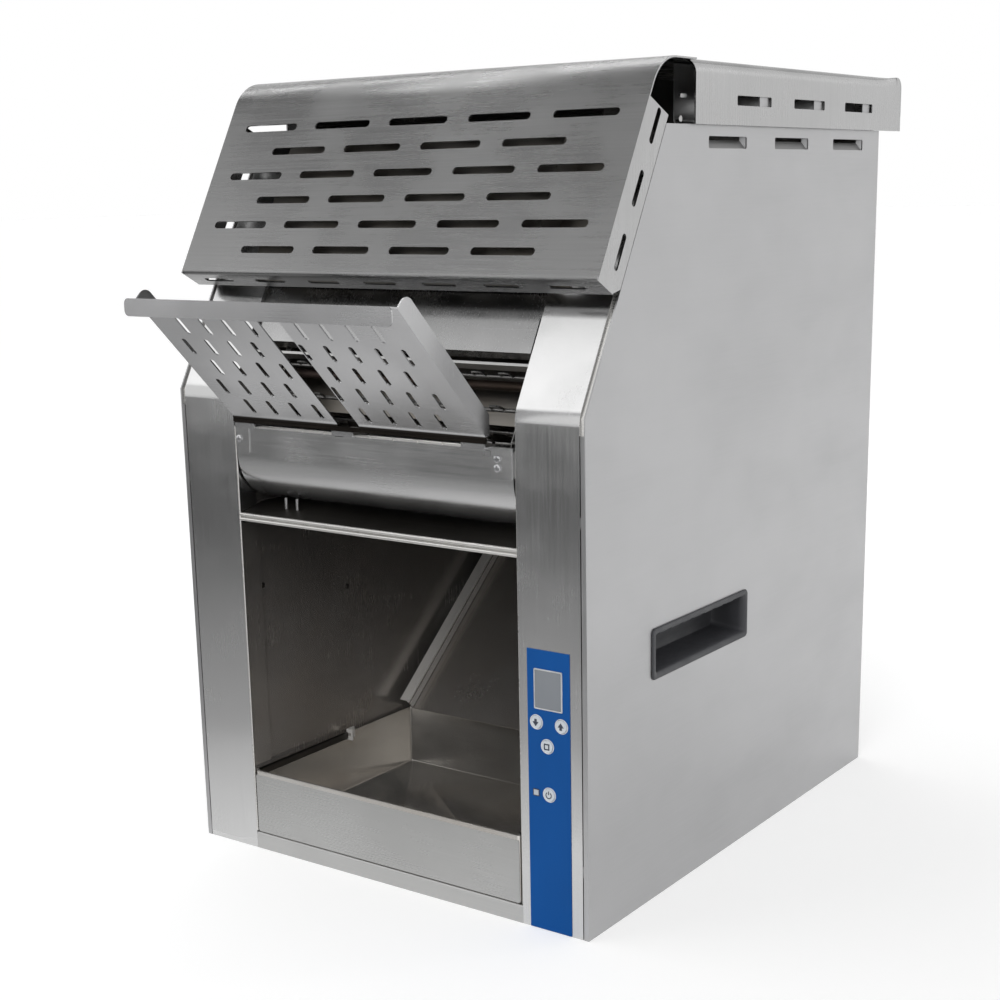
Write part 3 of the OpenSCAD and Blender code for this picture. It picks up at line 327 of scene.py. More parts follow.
MATS = {
    # The hood's faces along its grain get painted shade, darker than its side flanges
    "hood": steel("hood_steel", (0.45, 0.45, 0.45), 0.25, "X", 0.11, 0.06, scratch=0.06, painted_grain_shade=0.6,
                  relief=0.16),
    "column": steel("column_steel", (0.6, 0.6, 0.6), 0.2, "Z", 0.05, 0.05, scratch=0.04),
    "bezel": plated("bezel_plating", (0.86, 0.87, 0.88), 0.4),
    "bar": steel("bar_steel", (0.66, 0.65, 0.63), 0.26, "X", 0.06, 0.08),
    "soot": steel("sooted_steel", (0.07, 0.066, 0.06), 0.4, "X", 0.1, 0.2, stain=(0.03, 0.025, 0.02)),
    "side": steel("side_steel", (0.45, 0.45, 0.455), 0.36, "Y", 0.025, 0.07, 0.35, scratch=0.04),
    "back": steel("back_steel", (0.48, 0.48, 0.485), 0.36, "Z", 0.05, 0.06, scratch=0.06),
    "guard": steel("guard_steel", (0.53, 0.53, 0.53), 0.19, "X", 0.04, 0.04, scratch=0.0, metallic=0.93,
                   relief=0.1),
    # The vent scoops are a darker copy of the side steel: painted shade inside the vents
    "vent": steel("vent_steel_painted_shade", (0.30, 0.30, 0.30), 0.4, "Y", 0.04, 0.08, scratch=0.0),
    # A brighter, mostly diffuse copy of the steel: painted light on the chute's flange and the tray's tabs
    "lip": steel("flange_steel_painted_light", (0.82, 0.80, 0.77), 0.34, "Y", 0.05, 0.08, scratch=0.0, metallic=0.2),
    # The ramp's lowest band is painted near-black: a painted shadow in the recess above the guard
    "ramp": steel("ramp_steel", (0.52, 0.52, 0.525), 0.2, "X", 0.05, 0.26, scratch=0.03,
                  painted_shadow_heights=(0.3546, 0.3602)),
    "rail": steel("rail_steel", (0.47, 0.47, 0.465), 0.3, "X", 0.05, 0.05, scratch=0.05),
    "feed": steel("feed_steel", (0.40, 0.40, 0.40), 0.24, "S", 0.07, 0.3, scratch=0.05),
    "tray_lip": steel("tray_lip_steel", (0.43, 0.43, 0.425), 0.27, "X", 0.05, 0.1, scratch=0.06),
    "tray": steel("tray_steel", (0.66, 0.64, 0.61), 0.13, "X", 0.05, 0.16, 0.3, scratch=0.04,
                  stain=(0.46, 0.41, 0.35), metallic=0.86),
    # The chamber's walls and liners darken upwards with painted shade
    "inner": steel("inner_steel", (0.58, 0.55, 0.52), 0.2, "Z", 0.06, 0.14, scratch=0.0,
                   stain=(0.42, 0.36, 0.3), metallic=0.74, painted_top_shade=(0.09, 0.27), relief=0.05),
    "chute": steel("chute_steel", (0.58, 0.55, 0.52), 0.2, "Y", 0.06, 0.14, scratch=0.0,
                   stain=(0.42, 0.36, 0.3), metallic=0.74, relief=0.05),
    "hem": steel("hem_steel", (0.13, 0.125, 0.12), 0.3, "Y", 0.06, 0.1, scratch=0.0),
    "reflector": steel("reflector_steel", (0.26, 0.245, 0.225), 0.34, "X", 0.06, 0.12, scratch=0.0,
                       stain=(0.20, 0.165, 0.12)),
    "bracket": steel("bracket_steel", (0.42, 0.42, 0.42), 0.34, "Z", 0.06, 0.1),
    "wire": plated("wire_plating", (0.36, 0.355, 0.345), 0.3),
    "screw": plated("screw_plating", (0.60, 0.60, 0.61), 0.2),
    "machined": machined("machined_steel", (0.42, 0.42, 0.425)),
    "chain": machined("chain_steel", (0.30, 0.295, 0.29), 0.34, 0.5),
    "bronze": machined("bush_bronze", (0.45, 0.30, 0.14), 0.36, 0.3),
    "heater": oxidised("heater_sheath", (0.10, 0.075, 0.06), (0.16, 0.12, 0.14)),
    "ceramic": moulded("fired_ceramic", (0.76, 0.73, 0.66), 0.55, 1400, 0.00005, 0.1, 0.8),
    "black": moulded("black_plastic", (0.028, 0.029, 0.032), 0.46),
    "cup": moulded("cup_plastic", (0.042, 0.043, 0.048), 0.5, 2200, 0.00008),
    "blue": film("overlay_film", (0.004, 0.078, 0.30)),
    "display": film("display_film", (0.23, 0.245, 0.265)),
    "button": moulded("button_plastic", (0.62, 0.66, 0.70), 0.36, 3000, 0.00003, 0.06, 0.9),
    "ink": moulded("printed_ink", (0.035, 0.045, 0.07), 0.5, 2500, 0.00002),
    "light": film("light_lens", (0.50, 0.53, 0.57)),
    "motor": painted("motor_paint", (0.035, 0.037, 0.04)),
    "board": board("circuit_board"),
}

# The CAD nodes that each material is for
MAT_NODES = {
    "side": "side_panel_left side_panel_right",
    "cup": "handle_cup_left handle_cup_right",
    "column": "front_column_left front_column_right",
    "blue": "control_overlay",
    "display": "display_window",
    "button": "button_up button_down button_mode button_power",
    "light": "status_light",
    "board": "control_board",
    "hood": "top_cover",
    "bracket": "cover_rails tray_rails guard_brackets shroud_screws motor_bracket",
    "back": "back_panel base_pan",
    "screw": "back_screws guard_screws",
    "machined": "leg_nuts upper_shaft upper_sprockets driven_wheel lower_shaft lower_sprockets motor_wheel",
    "rail": "base_rail feed_bar",
    "inner": "inner_wall_left inner_wall_right rear_wall",
    "chute": "return_chute lower_shroud",
    "tray": "collection_tray",
    "guard": "front_guard",
    "ramp": "loading_ramp",
    "feed": "feed_plate",
    "reflector": "front_reflector rear_reflector top_deflector",
    "heater": "front_heaters rear_heaters",
    "ceramic": "heater_insulators terminal_block",
    "wire": "bread_guard bread_racks fan_guard",
    "bronze": "shaft_bearings",
    "chain": "conveyor_chains drive_chain",
    "motor": "gear_motor",
    "black": "fan_frame fan_rotor cord_gland",
}
NODE_MATS = {node: mat for mat, names in MAT_NODES.items() for node in names.split()}


# ---------------------------------------------------------------- carried nodes
def smoothing():
    """Joins split corners and smooths every edge flatter than a fold."""
    g = bpy.data.node_groups.new("tidy_mesh", "GeometryNodeTree")
    for way in ("INPUT", "OUTPUT"):
        g.interface.new_socket("Geometry", in_out=way, socket_type="NodeSocketGeometry")
    make = g.nodes.new
    start, end = make("NodeGroupInput"), make("NodeGroupOutput")
    merge = make("GeometryNodeMergeByDistance")
    merge.inputs["Distance"].default_value = 0.000002
    faces, edges = make("GeometryNodeSetShadeSmooth"), make("GeometryNodeSetShadeSmooth")
    faces.domain, edges.domain = "FACE", "EDGE"
    faces.inputs["Shade Smooth"].default_value = True
    edges.inputs["Shade Smooth"].default_value = False
    angle = make("GeometryNodeInputMeshEdgeAngle")
    sharp = make("FunctionNodeCompare")
    sharp.operation = "GREATER_THAN"
    sharp.inputs[1].default_value = math.radians(32)
    link = g.links.new
    link(start.outputs[0], merge.inputs["Geometry"])
    link(merge.outputs[0], faces.inputs["Geometry"])
    link(faces.outputs[0], edges.inputs["Geometry"])
    link(angle.outputs["Unsigned Angle"], sharp.inputs[0])
    link(sharp.outputs[0], edges.inputs["Selection"])
    link(edges.outputs[0], end.inputs[0])
    return g


TIDY = smoothing()


def tidy(o, bevel=0.0):
    o.modifiers.new("tidy", "NODES").node_group = TIDY
    if bevel:
        b = o.modifiers.new("edges", "BEVEL")
        b.width = bevel
        b.segments = 2
        b.limit_method = "ANGLE"
        b.angle_limit = math.radians(40)
        b.use_clamp_overlap = True
        b.harden_normals = True


for name, o in nodes.items():
    if "custom_normal" in o.data.attributes:
        o.data.attributes.remove(o.data.attributes["custom_normal"])
    o.data.materials.clear()
    o.data.materials.append(MATS[NODE_MATS[name]])
    tidy(o)

# ---------------------------------------------------------------- mesh kit
HANDS = (("left", -1), ("right", 1))


def polar(c, r, a):
    """The point at a radius and an angle, in radians, from a centre."""
    return (c[0] + r * math.cos(a), c[1] + r * math.sin(a))


def ring_points(c, r, n, a0=0.0, a1=360.0, closed=True):
    steps = n if closed else n - 1
    return [polar(c, r, math.radians(a0 + (a1 - a0) * i / steps)) for i in range(n)]


def rounded(w, h, r, n=5, c=(0, 0)):
    """The outline of a rectangle with round corners."""
    out = []
    for k, (sx, sy) in enumerate(((1, 1), (-1, 1), (-1, -1), (1, -1))):
        mid = (c[0] + sx * (w / 2 - r), c[1] + sy * (h / 2 - r))
        out += ring_points(mid, r, n, 90 * k, 90 * k + 90, False)
    return out


class Shape:
    """Points and faces of one piece, in the millimetres of the construction."""

    def __init__(self):
        self.v, self.f = [], []

    def add(self, points, faces):
        k = len(self.v)
        self.v += [tuple(p) for p in points]
        self.f += [tuple(k + i for i in f) for f in faces]

    def loft(self, rings, closed=False):
        """A skin over rings of points that have the same count, with a cap at each end
        unless the last ring joins the first."""
        n = len(rings[0])
        points = [p for r in rings for p in r]
        faces = []
        spans = len(rings) if closed else len(rings) - 1
        for a in range(spans):
            b = (a + 1) % len(rings)
            for i in range(n):
                j = (i + 1) % n
                faces.append((a * n + i, a * n + j, b * n + j, b * n + i))
        if not closed:
            faces += [tuple(range(n))[::-1], tuple(range(len(points) - n, len(points)))]
        self.add(points, faces)

    def lathe(self, profile, place, n=24, closed=False):
        """Turns (radius, distance along the axis); place puts (u, v, along) in space."""
        rings = []
        for r, a in profile:
            rings.append([place(u, v, a) for u, v in ring_points((0, 0), max(r, 0.001), n)])
        self.loft(rings, closed=closed)

    def tube(self, path, r, n=8, ends=True):
        path = [Vector(p) for p in path]
        rings, side = [], None
        for i, p in enumerate(path):
            ahead = (path[min(i + 1, len(path) - 1)] - path[max(i - 1, 0)]).normalized()
            if side is None:
                side = ahead.orthogonal().normalized()
            side = (side - ahead * side.dot(ahead)).normalized()
            up = ahead.cross(side)
            rings.append([p + side * (r * math.cos(a)) + up * (r * math.sin(a))
                          for a in (2 * math.pi * k / n for k in range(n))])
        if ends:
            for at_start in (True, False):
                end = path[0] if at_start else path[-1]
                inner = rings[0] if at_start else rings[-1]
                way = ((path[0] - path[1]) if at_start else (path[-1] - path[-2])).normalized()
                cap = [end + (q - end) * 0.55 + way * r * 0.5 for q in inner]
                if at_start:
                    rings.insert(0, cap)
                else:
                    rings.append(cap)
        self.loft(rings)

    def plate(self, outer, holes, place, t0, t1):
        """A flat plate with holes; place puts (u, v, depth) in space."""
        loops = [outer, *holes]
        flat = [p for loop in loops for p in loop]
        tris = tessellate_polygon([[Vector((*p, 0)) for p in loop] for loop in loops])
        n = len(flat)
        points = [place(u, v, t0) for u, v in flat] + [place(u, v, t1) for u, v in flat]
        faces = [tuple(t) for t in tris] + [tuple(n + i for i in reversed(t)) for t in tris]
        k = 0
        for loop in loops:
            m = len(loop)
            faces += [(k + i, k + (i + 1) % m, n + k + (i + 1) % m, n + k + i) for i in range(m)]
            k += m
        self.add(points, faces)


def piece(name, shape, mat, body, replaces=(), bevel=0.0):
    """Makes an object of a shape, with its material, that rides on a body."""
    me = bpy.data.meshes.new(name)
    me.from_pydata([metres(p) for p in shape.v], [], shape.f)
    bm = bmesh.new()
    bm.from_mesh(me)
    bmesh.ops.recalc_face_normals(bm, faces=bm.faces)
    bm.to_mesh(me)
    bm.free()
    me.materials.append(MATS[mat])
    o = bpy.data.objects.new(name, me)
    bpy.context.scene.collection.objects.link(o)
    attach(o, body)
    if replaces:
        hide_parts(*replaces)
    tidy(o, bevel)


def on_x(u, v, a):
    """Places (y, z) at a distance along X."""
    return (a, u, v)


def along_x(x, sign=1):
    """Places (y, z) with distance along X, from a start and either way."""
    return lambda u, v, a: (x + sign * a, u, v)


def round_x(c, x=0.0):
    """Places (y, z) round an axis along X, with distance along it."""
    return lambda u, v, a: (x + a, c[0] + u, c[1] + v)


def from_front(c, y):
    """Places (x, z) round an axis along Y, with distance out of the front face."""
    return lambda u, v, a: (c[0] + u, y - a, c[1] + v)


def from_back(c, y):
    return lambda u, v, a: (c[0] + u, y + a, c[1] + v)


def cross_head(shape, place, r, h, shank_r, shank):
    """A pan head with a cross recess and its shank."""
    n = 40
    arm, reach, deep = r * 0.16, r * 0.58, h * 0.55
    levels = [0.0, 0.16, 0.3, 0.45, 0.58, 0.7, 0.84, 0.95, 1.0]
    rings = []
    for q in levels[::-1]:
        ring = []
        for u, v in ring_points((0, 0), max(q * r, 0.002), n):
            top = h * (1 - 0.32 * q ** 3)
            slotted = (min(abs(u), abs(v)) < arm) and max(abs(u), abs(v)) < reach
            ring.append(place(u, v, top - (deep if slotted else 0)))
        rings.append(ring)
    base = [place(u, v, 0) for u, v in ring_points((0, 0), r, n)]
    neck = [place(u, v, 0) for u, v in ring_points((0, 0), shank_r, n)]
    tip = [place(u, v, -shank) for u, v in ring_points((0, 0), shank_r * 0.9, n)]
    shape.loft([tip, neck, base, *rings])


# ---------------------------------------------------------------- fasteners
screws = Shape()
GUARD_TOP = 351.0
# (x, distance below the guard's top) of its screws
GUARD_SCREWS = ((118.5, 8), (118.5, 14.5), (-127, 11))
for x, drop in GUARD_SCREWS:
    cross_head(screws, from_front((x, GUARD_TOP - drop), -0.95), 2.75, 1.5, 1.45, 3.3)
piece("guard_screws_cross", screws, "screw", "body", ["guard_screws"])

screws = Shape()
for x in (-178, 178):
    for z in (20, 200, 380, 545.5):
        cross_head(screws, from_back((x, z), DEPTH), 3.6, 2.1, 1.75, 5)
piece("back_screws_cross", screws, "screw", "body", ["back_screws"])

# ---------------------------------------------------------------- controls
DISPLAY = (158.0, 182.5)
bezel = Shape()
for w, h, t0, t1 in ((24.0, 29.7, 0.55, 0.95), (23.6, 29.3, 0.95, 1.15)):
    bezel.plate(rounded(w, h, 1.0, 5, DISPLAY), [rounded(22.0, 27.7, 0.7, 5, DISPLAY)],
                from_front((0, 0), 0), t0, t1)
piece("display_bezel", bezel, "bezel", "body", bevel=0.00008)

BUTTONS = {"up": (168.9, 157.8), "down": (147.7, 157.8), "mode": (156.8, 141.0), "power": (158.0, 105.0)}
FILM = 0.6
# (radius, distance out of the front) round a cap: its stem, its flange and its dished face
CAP_PROFILE = [
    (2.1, -7.4), (2.2, -1.9), (5.4, -1.9), (6.3, -2.6), (6.3, -1.5), (4.75, -1.3),
    (4.75, 1.3), (4.55, 1.75), (4.2, 1.92), (3.9, 1.8), (3.7, 1.62), (2.0, 1.7), (0.0, 1.72),
]
COLLAR_PROFILE = [(4.95, 0.0), (5.55, 0.0), (5.5, 0.2), (5.25, 0.32), (5.0, 0.24)]
MARK_SPAN = (1.6, 1.92)


def arrow(shape, place, s):
    """An arrow up, where s is 1, or down, where it is -1."""
    shape.plate([(-2.5, -0.5 * s), (2.5, -0.5 * s), (0, 2.9 * s)][::s], [], place, *MARK_SPAN)
    stem = [(-1.0, -2.5 * s), (1.0, -2.5 * s), (1.0, -0.6 * s), (-1.0, -0.6 * s)]
    shape.plate(stem[::s], [], place, *MARK_SPAN)


def square_mark(shape, place):
    shape.plate(rounded(4.6, 4.6, 0.5), [rounded(2.9, 2.9, 0.3)[::-1]], place, *MARK_SPAN)


def power_mark(shape, place):
    """A ring that is open at its top, and a bar in the gap."""
    outer = ring_points((0, 0), 2.6, 22, 125, 415, False)
    inner = ring_points((0, 0), 1.9, 22, 415, 125, False)
    shape.plate(outer + inner, [], place, *MARK_SPAN)
    shape.plate([(-0.36, 0.4), (0.36, 0.4), (0.36, 3.0), (-0.36, 3.0)], [], place, *MARK_SPAN)


def button(kind, c):
    """A button's cap and mark, which travel, and its collar, which stays."""
    place, body = from_front(c, 0), f"{kind}_button"
    cap = Shape()
    cap.lathe(CAP_PROFILE, place, 48)
    piece(f"button_cap_{kind}", cap, "button", body, [f"button_{kind}"])
    mark = Shape()
    if kind in ("up", "down"):
        arrow(mark, place, 1 if kind == "up" else -1)
    elif kind == "mode":
        square_mark(mark, place)
    else:
        power_mark(mark, place)
    piece(f"button_mark_{kind}", mark, "ink", body, bevel=0.00005)
    collar = Shape()
    collar.lathe(COLLAR_PROFILE, from_front(c, -FILM), 48, True)
    piece(f"button_collar_{kind}", collar, "bezel", "body")


for kind, c in BUTTONS.items():
    button(kind, c)

LIGHT = (146.8, 105.0)
surround = Shape()
surround.plate(rounded(5.4, 5.4, 0.7, 4, LIGHT), [rounded(4.1, 4.1, 0.4, 4, LIGHT)],
               from_front((0, 0), 0), 0.58, 0.95)
piece("light_frame", surround, "ink", "body", bevel=0.00006)

# ---------------------------------------------------------------- handle cups
CUP_MID = (161.0, 191.5)
# (distance from the middle of the body, length, height, corner radius) of a cup's
# sections, from the back of its shell over its rim to its floor
CUP_SECTIONS = (
    (160.0, 138.6, 29.6, 5), (176.0, 139.2, 30.2, 4.2), (190.1, 139.6, 30.4, 4),
    (190.1, 147.4, 38.4, 3.2), (190.5, 148, 39, 3.4), (191.1, 147.6, 38.6, 3.3),
    (191.65, 146.4, 37.4, 3.1), (191.7, 143.2, 34.2, 2.6), (191.5, 141.0, 32.0, 2.4),
    (190.9, 139.4, 30.4, 2.6), (189.6, 137.8, 28.8, 3.0), (186.0, 136.4, 27.4, 3.4),
    (176.0, 135.4, 26.6, 3.8), (166.0, 134.2, 25.6, 4.6), (163.4, 131.6, 23.4, 5.4),
    (162.2, 126.0, 19.0, 6.0), (162.0, 112.0, 10.0, 4.0),
)
RIB_X, RIB_RISE, RIB_PITCH, RIB_HALF = 186.5, 13.2, 17, 6


def handle_cup(hand, side):
    """A cup and the short grip ribs under the top of its mouth."""
    s = Shape()
    rings = []
    for x, w, h, r in CUP_SECTIONS:
        rings.append([(side * x, CUP_MID[0] + u, CUP_MID[1] + v) for u, v in rounded(w, h, r, 6)])
    s.loft(rings)
    z = CUP_MID[1] + RIB_RISE
    for k in range(-3, 4):
        y = CUP_MID[0] + k * RIB_PITCH
        s.tube([(side * RIB_X, y - RIB_HALF, z), (side * RIB_X, y + RIB_HALF, z)], 0.8, 8)
    piece(f"cup_moulding_{hand}", s, "cup", "body", [f"handle_cup_{hand}"])


handle_cup("right", 1)
handle_cup("left", -1)

# ---------------------------------------------------------------- conveyor
# The heights of the two shafts up the slanted front, and their distance behind it
LOW_H, HIGH_H, SHAFT_G = -21, 200, 57
LOWER, UPPER = at(LOW_H, SHAFT_G), at(HIGH_H, SHAFT_G)


def belt_place(c1, r1, c2, r2):
    """A function that gives the point at a distance round a belt over two wheels, and
    the belt's length."""
    way = math.atan2(c2[1] - c1[1], c2[0] - c1[0])
    gap = math.dist(c1, c2)
    lean = math.acos((r1 - r2) / gap)
    run = math.sqrt(gap * gap - (r1 - r2) ** 2)
    arc1, arc2 = r1 * (2 * math.pi - 2 * lean), r2 * 2 * lean
    total = 2 * run + arc1 + arc2

    def place(s):
        s %= total
        if s < arc1:
            return polar(c1, r1, way + lean + s / r1)
        s -= arc1
        start, end = polar(c1, r1, way - lean), polar(c2, r2, way - lean)
        if s >= run:
            s -= run
            if s < arc2:
                return polar(c2, r2, way - lean + s / r2)
            s -= arc2
            start, end = polar(c2, r2, way + lean), polar(c1, r1, way + lean)
        return tuple(p + (q - p) * s / run for p, q in zip(start, end))

    return place, total


def link_outline(p, q, r, waist):
    """A waisted link plate round two pins."""
    a = math.degrees(math.atan2(q[1] - p[1], q[0] - p[0]))
    mid = ((p[0] + q[0]) / 2, (p[1] + q[1]) / 2)
    side = math.radians(a + 90)
    return [polar(mid, -waist, side), *ring_points(q, r, 6, a - 75, a + 75, False),
            polar(mid, waist, side), *ring_points(p, r, 6, a + 105, a + 255, False)]


def spool(r, half, ease, chamfer):
    """The profile of a pin or a roller with eased ends, about its middle."""
    return [(r - chamfer, -half), (r, ease - half), (r, half - ease), (r - chamfer, half)]


def chain(shape, x, c1, r1, c2, r2, count, width, plate_r):
    """A roller chain over two wheels, with its outer and inner plates by turns."""
    place, total = belt_place(c1, r1, c2, r2)
    step = total / count
    for i in range(count):
        p, q = place(i * step), place((i + 1) * step)
        outer = i % 2 == 0
        for s in (-1, 1):
            x0 = x + s * (width / 2 - (0.45 if outer else 1.05))
            shape.plate(link_outline(p, q, plate_r, plate_r * 0.72), [], along_x(x0), -0.25, 0.25)
        shape.lathe(spool(1.6, width / 2 - 1.3, 0.1, 0.1), round_x(p, x), 10)
        shape.lathe(spool(0.8, width / 2, 0.12, 0.15), round_x(p, x), 8)


RACK_R, CHAIN_X = 26.0, 118
chains = Shape()
for _, side in HANDS:
    chain(chains, side * CHAIN_X, LOWER, RACK_R, UPPER, RACK_R, 60, 6, 1.8)
piece("conveyor_chain_links", chains, "chain", "body", ["conveyor_chains"])
MOTOR = (432.0, 300.0)
DRIVE_X, DRIVEN_R, DRIVER_R = 151.3, 28.3, 15.3
links = Shape()
chain(links, -DRIVE_X, UPPER, DRIVEN_R, MOTOR, DRIVER_R, 96, 6, 1.7)
piece("drive_chain_links", links, "chain", "body", ["drive_chain"])
TOOTH_PHASE = 4


def sprocket(shape, x, w, c, pins_r, teeth, bore, hub_r, hub_w, holes):
    """A chain wheel: hooked teeth, a web with holes, and a hub on both sides."""
    outline = []
    for k in range(teeth):
        a = TOOTH_PHASE + 360 / teeth * k
        half = 180 / teeth
        for da, r in ((-half * 0.52, pins_r - 2.0), (0, pins_r - 2.5), (half * 0.52, pins_r - 2.0),
                      (half * 0.8, pins_r + 0.2), (half * 0.93, pins_r + 1.5), (half * 1.07, pins_r + 1.5),
                      (half * 1.2, pins_r + 0.2)):
            outline.append(polar(c, r, math.radians(a + da)))
    cuts = [ring_points(c, bore, 28)]
    for k in range(holes):
        mid = polar(c, pins_r * 0.58, math.radians(TOOTH_PHASE + 360 / holes * k))
        cuts.append(ring_points(mid, pins_r * 0.14, 18))
    shape.plate(outline, cuts, along_x(x), -w / 2, w / 2)
    for s in (-1, 1):
        hub = ring_points(c, hub_r, 36)
        shape.plate(hub, [ring_points(c, bore, 28)], along_x(x, s), w / 2 - 0.1, hub_w / 2)


def wheel_piece(name, shape, body, node, bevel=0.0002):
    piece(name, shape, "machined", body, [node], bevel)


SHAFT_BORE = 6.05
for level, c in (("upper", UPPER), ("lower", LOWER)):
    wheels = Shape()
    for _, side in HANDS:
        sprocket(wheels, side * CHAIN_X, 3.2, c, RACK_R, 16, SHAFT_BORE, 10, 10, 6)
    wheel_piece(f"{level}_chain_wheels", wheels, f"{level}_roller", f"{level}_sprockets")
wheels = Shape()
sprocket(wheels, -DRIVE_X, 3, UPPER, DRIVEN_R, 20, SHAFT_BORE, 10, 8, 6)
wheel_piece("driven_chain_wheel", wheels, "upper_roller", "driven_wheel")
wheels = Shape()
sprocket(wheels, -DRIVE_X, 3, MOTOR, DRIVER_R, 10, 3.9, 7, 8, 0)
wheels.lathe([(3.4, -156.3), (4, -155.7), (4, -125), (3.6, -124.3)], round_x(MOTOR))
wheel_piece("motor_chain_wheel", wheels, "motor_output", "motor_wheel", 0.00015)

SPACING = HIGH_H - LOW_H
HALF_LOOP = SPACING + math.pi * RACK_R


def rack_place(s):
    """(distance behind the slope's shaft line, height up the slope, turn) of a rack."""
    if s < SPACING:
        return -RACK_R, LOW_H + s, 0.0
    if s < HALF_LOOP:
        a = (s - SPACING) / RACK_R
        return -RACK_R * math.cos(a), HIGH_H + RACK_R * math.sin(a), a
    if s < HALF_LOOP + SPACING:
        return RACK_R, HIGH_H - (s - HALF_LOOP), math.pi
    a = (s - HALF_LOOP - SPACING) / RACK_R
    return RACK_R * math.cos(a), LOW_H - RACK_R * math.sin(a), math.pi + a


RACKS, RACK_START, LOOP_PITCH = 24, 0.35, 24
# (along the rack, out of the belt) of the wire loops that hold the bread
LOOP = ((-5, 0), (-5, 4.5), (-4, 6.4), (-2, 7.1), (2, 7.1), (4, 6.4), (5, 4.5), (5, 0))


def rack(shape, s):
    """A cross wire at a distance round the belt, with its nine loops."""
    g, h, turn = rack_place(s)

    def spot(x, out):
        return (x, *at(h + out * math.sin(turn), SHAFT_G + (g - out * math.cos(turn))))

    shape.tube([spot(x, 0) for x in (-114.8, -60, 0, 60, 114.8)], 1.5, 10)
    for k in range(-4, 5):
        shape.tube([spot(k * LOOP_PITCH + x, out) for x, out in LOOP], 0.9, 6, False)


racks = Shape()
for i in range(RACKS):
    rack(racks, (i + RACK_START) * 2 * HALF_LOOP / RACKS)
piece("rack_wires", racks, "wire", "body", ["bread_racks"])

# ---------------------------------------------------------------- sheet work
def strip(line, t):
    """The outline of a sheet that follows a line, with its thickness on the left."""
    out = []
    for i, p in enumerate(line):
        ways = []
        for a, b in zip(line[max(i - 1, 0):i + 1], line[max(i, 1) if i else 1:i + 2]):
            way = Vector((b[0] - a[0], b[1] - a[1])).normalized()
            ways.append(Vector((-way.y, way.x)))
        lean = sum(ways, Vector((0, 0))).normalized()
        lean *= t / max(0.3, lean.dot(ways[0]))
        out.append((p[0] + lean.x, p[1] + lean.y))
    return [*line, *out[::-1]]


def pin(shape, x0, x1, y, z, r):
    """A headed pin along X, whose domed head is at x1."""
    w = math.copysign(1, x1 - x0)
    shape.lathe([(r * 0.6, x0), (r * 0.6, x1 - w * 1.2), (r, x1 - w * 1.2), (r, x1 - w * 0.6),
                 (r * 0.8, x1 - w * 0.2), (r * 0.35, x1)], round_x((y, z)), 20)


# The bar under the guard is hemmed: two rolls with a dark fold between them
BAR_Z, BAR_TOP, BAR_HALF = 274.0, 281.0, 132.6
bar = Shape()
profile = ring_points((1.5, BAR_Z + 1.7), 1.6, 9, 270, 90, False)
profile += [(1.5, BAR_Z + 3.7)]
profile += ring_points((1.5, BAR_TOP - 1.6), 1.5, 9, 270, 90, False)
profile += [(2.6, BAR_TOP - 0.3), (2.6, BAR_Z + 0.4)]
bar.plate(profile, [], on_x, -BAR_HALF, BAR_HALF)
piece("shroud_bar", bar, "bar", "body", ["lower_shroud"])
sheet = Shape()
line = [(2.4, BAR_TOP - 0.5), (26, 286), (62, 286)]
sheet.plate(strip(line, -1), [], on_x, -BAR_HALF, BAR_HALF)
piece("shroud_sheet", sheet, "soot", "body")

# The guard's top edge is rolled into a bead, with a row of stakes
STAKE_PROFILE = [(1.2, 0), (1.1, 0.35), (0.7, 0.65), (0.2, 0.75)]
bead = Shape()
bead.tube([(x, 0.35, GUARD_TOP - 0.85) for x in (-120, 0, 104)], 1.2, 14)
for x in range(-106, 93, 22):
    bead.lathe(STAKE_PROFILE, from_front((x, GUARD_TOP - 1.0), -0.7), 14)
piece("guard_bead", bead, "bar", "body")

# An ear at each end of the guard's top takes its screws
EAR_H = 22.0
for (hand, side), (lo, hi) in zip(HANDS, ((-130.6, -117.0), (113.0, 130.6))):
    ear = Shape()
    middle = ((lo + hi) / 2, GUARD_TOP - 0.6 - EAR_H / 2)
    cuts = [ring_points((x, GUARD_TOP - drop), 1.6, 20) for x, drop in GUARD_SCREWS if x * side > 0]
    ear.plate(rounded(hi - lo, EAR_H, 2.2, 5, middle), cuts, from_front((0, 0), 0), 0.02, 0.9)
    piece(f"guard_ear_{hand}", ear, "guard", "body", bevel=0.0002)

# The tray: a pan with soft folds and rolled rims
TRAY_HALF, TRAY_D, TRAY_Z, TRAY_TOP = 131.0, 202.0, 14.6, 67.6
# (inset, height, corner radius) of the pan, from under it over its rim to its floor
PAN_SECTIONS = (
    (2.2, TRAY_Z, 2.0), (0.6, TRAY_Z + 0.3, 2.6), (0, TRAY_Z + 2, 3), (0, TRAY_TOP - 0.8, 3),
    (0.15, TRAY_TOP - 0.2, 2.9), (0.5, TRAY_TOP, 2.6), (0.85, TRAY_TOP - 0.2, 2.3),
    (1, TRAY_TOP - 0.8, 2.2), (1, TRAY_Z + 3.2, 2.2), (1.5, TRAY_Z + 1.7, 1.8), (2.9, TRAY_Z + 1.0, 1.2),
)
pan = Shape()
rings = []
for inset, z, r in PAN_SECTIONS:
    outline = rounded(2 * (TRAY_HALF - inset), TRAY_D - 2 * inset, r, 5, (0, TRAY_D / 2))
    rings.append([(x, y, z) for x, y in outline])
pan.loft(rings)
pan.plate(rounded(2.8, 3.2, 1.3, 5, (1.45, TRAY_TOP - 1.6)), [], on_x, 2.5 - TRAY_HALF, TRAY_HALF - 2.5)
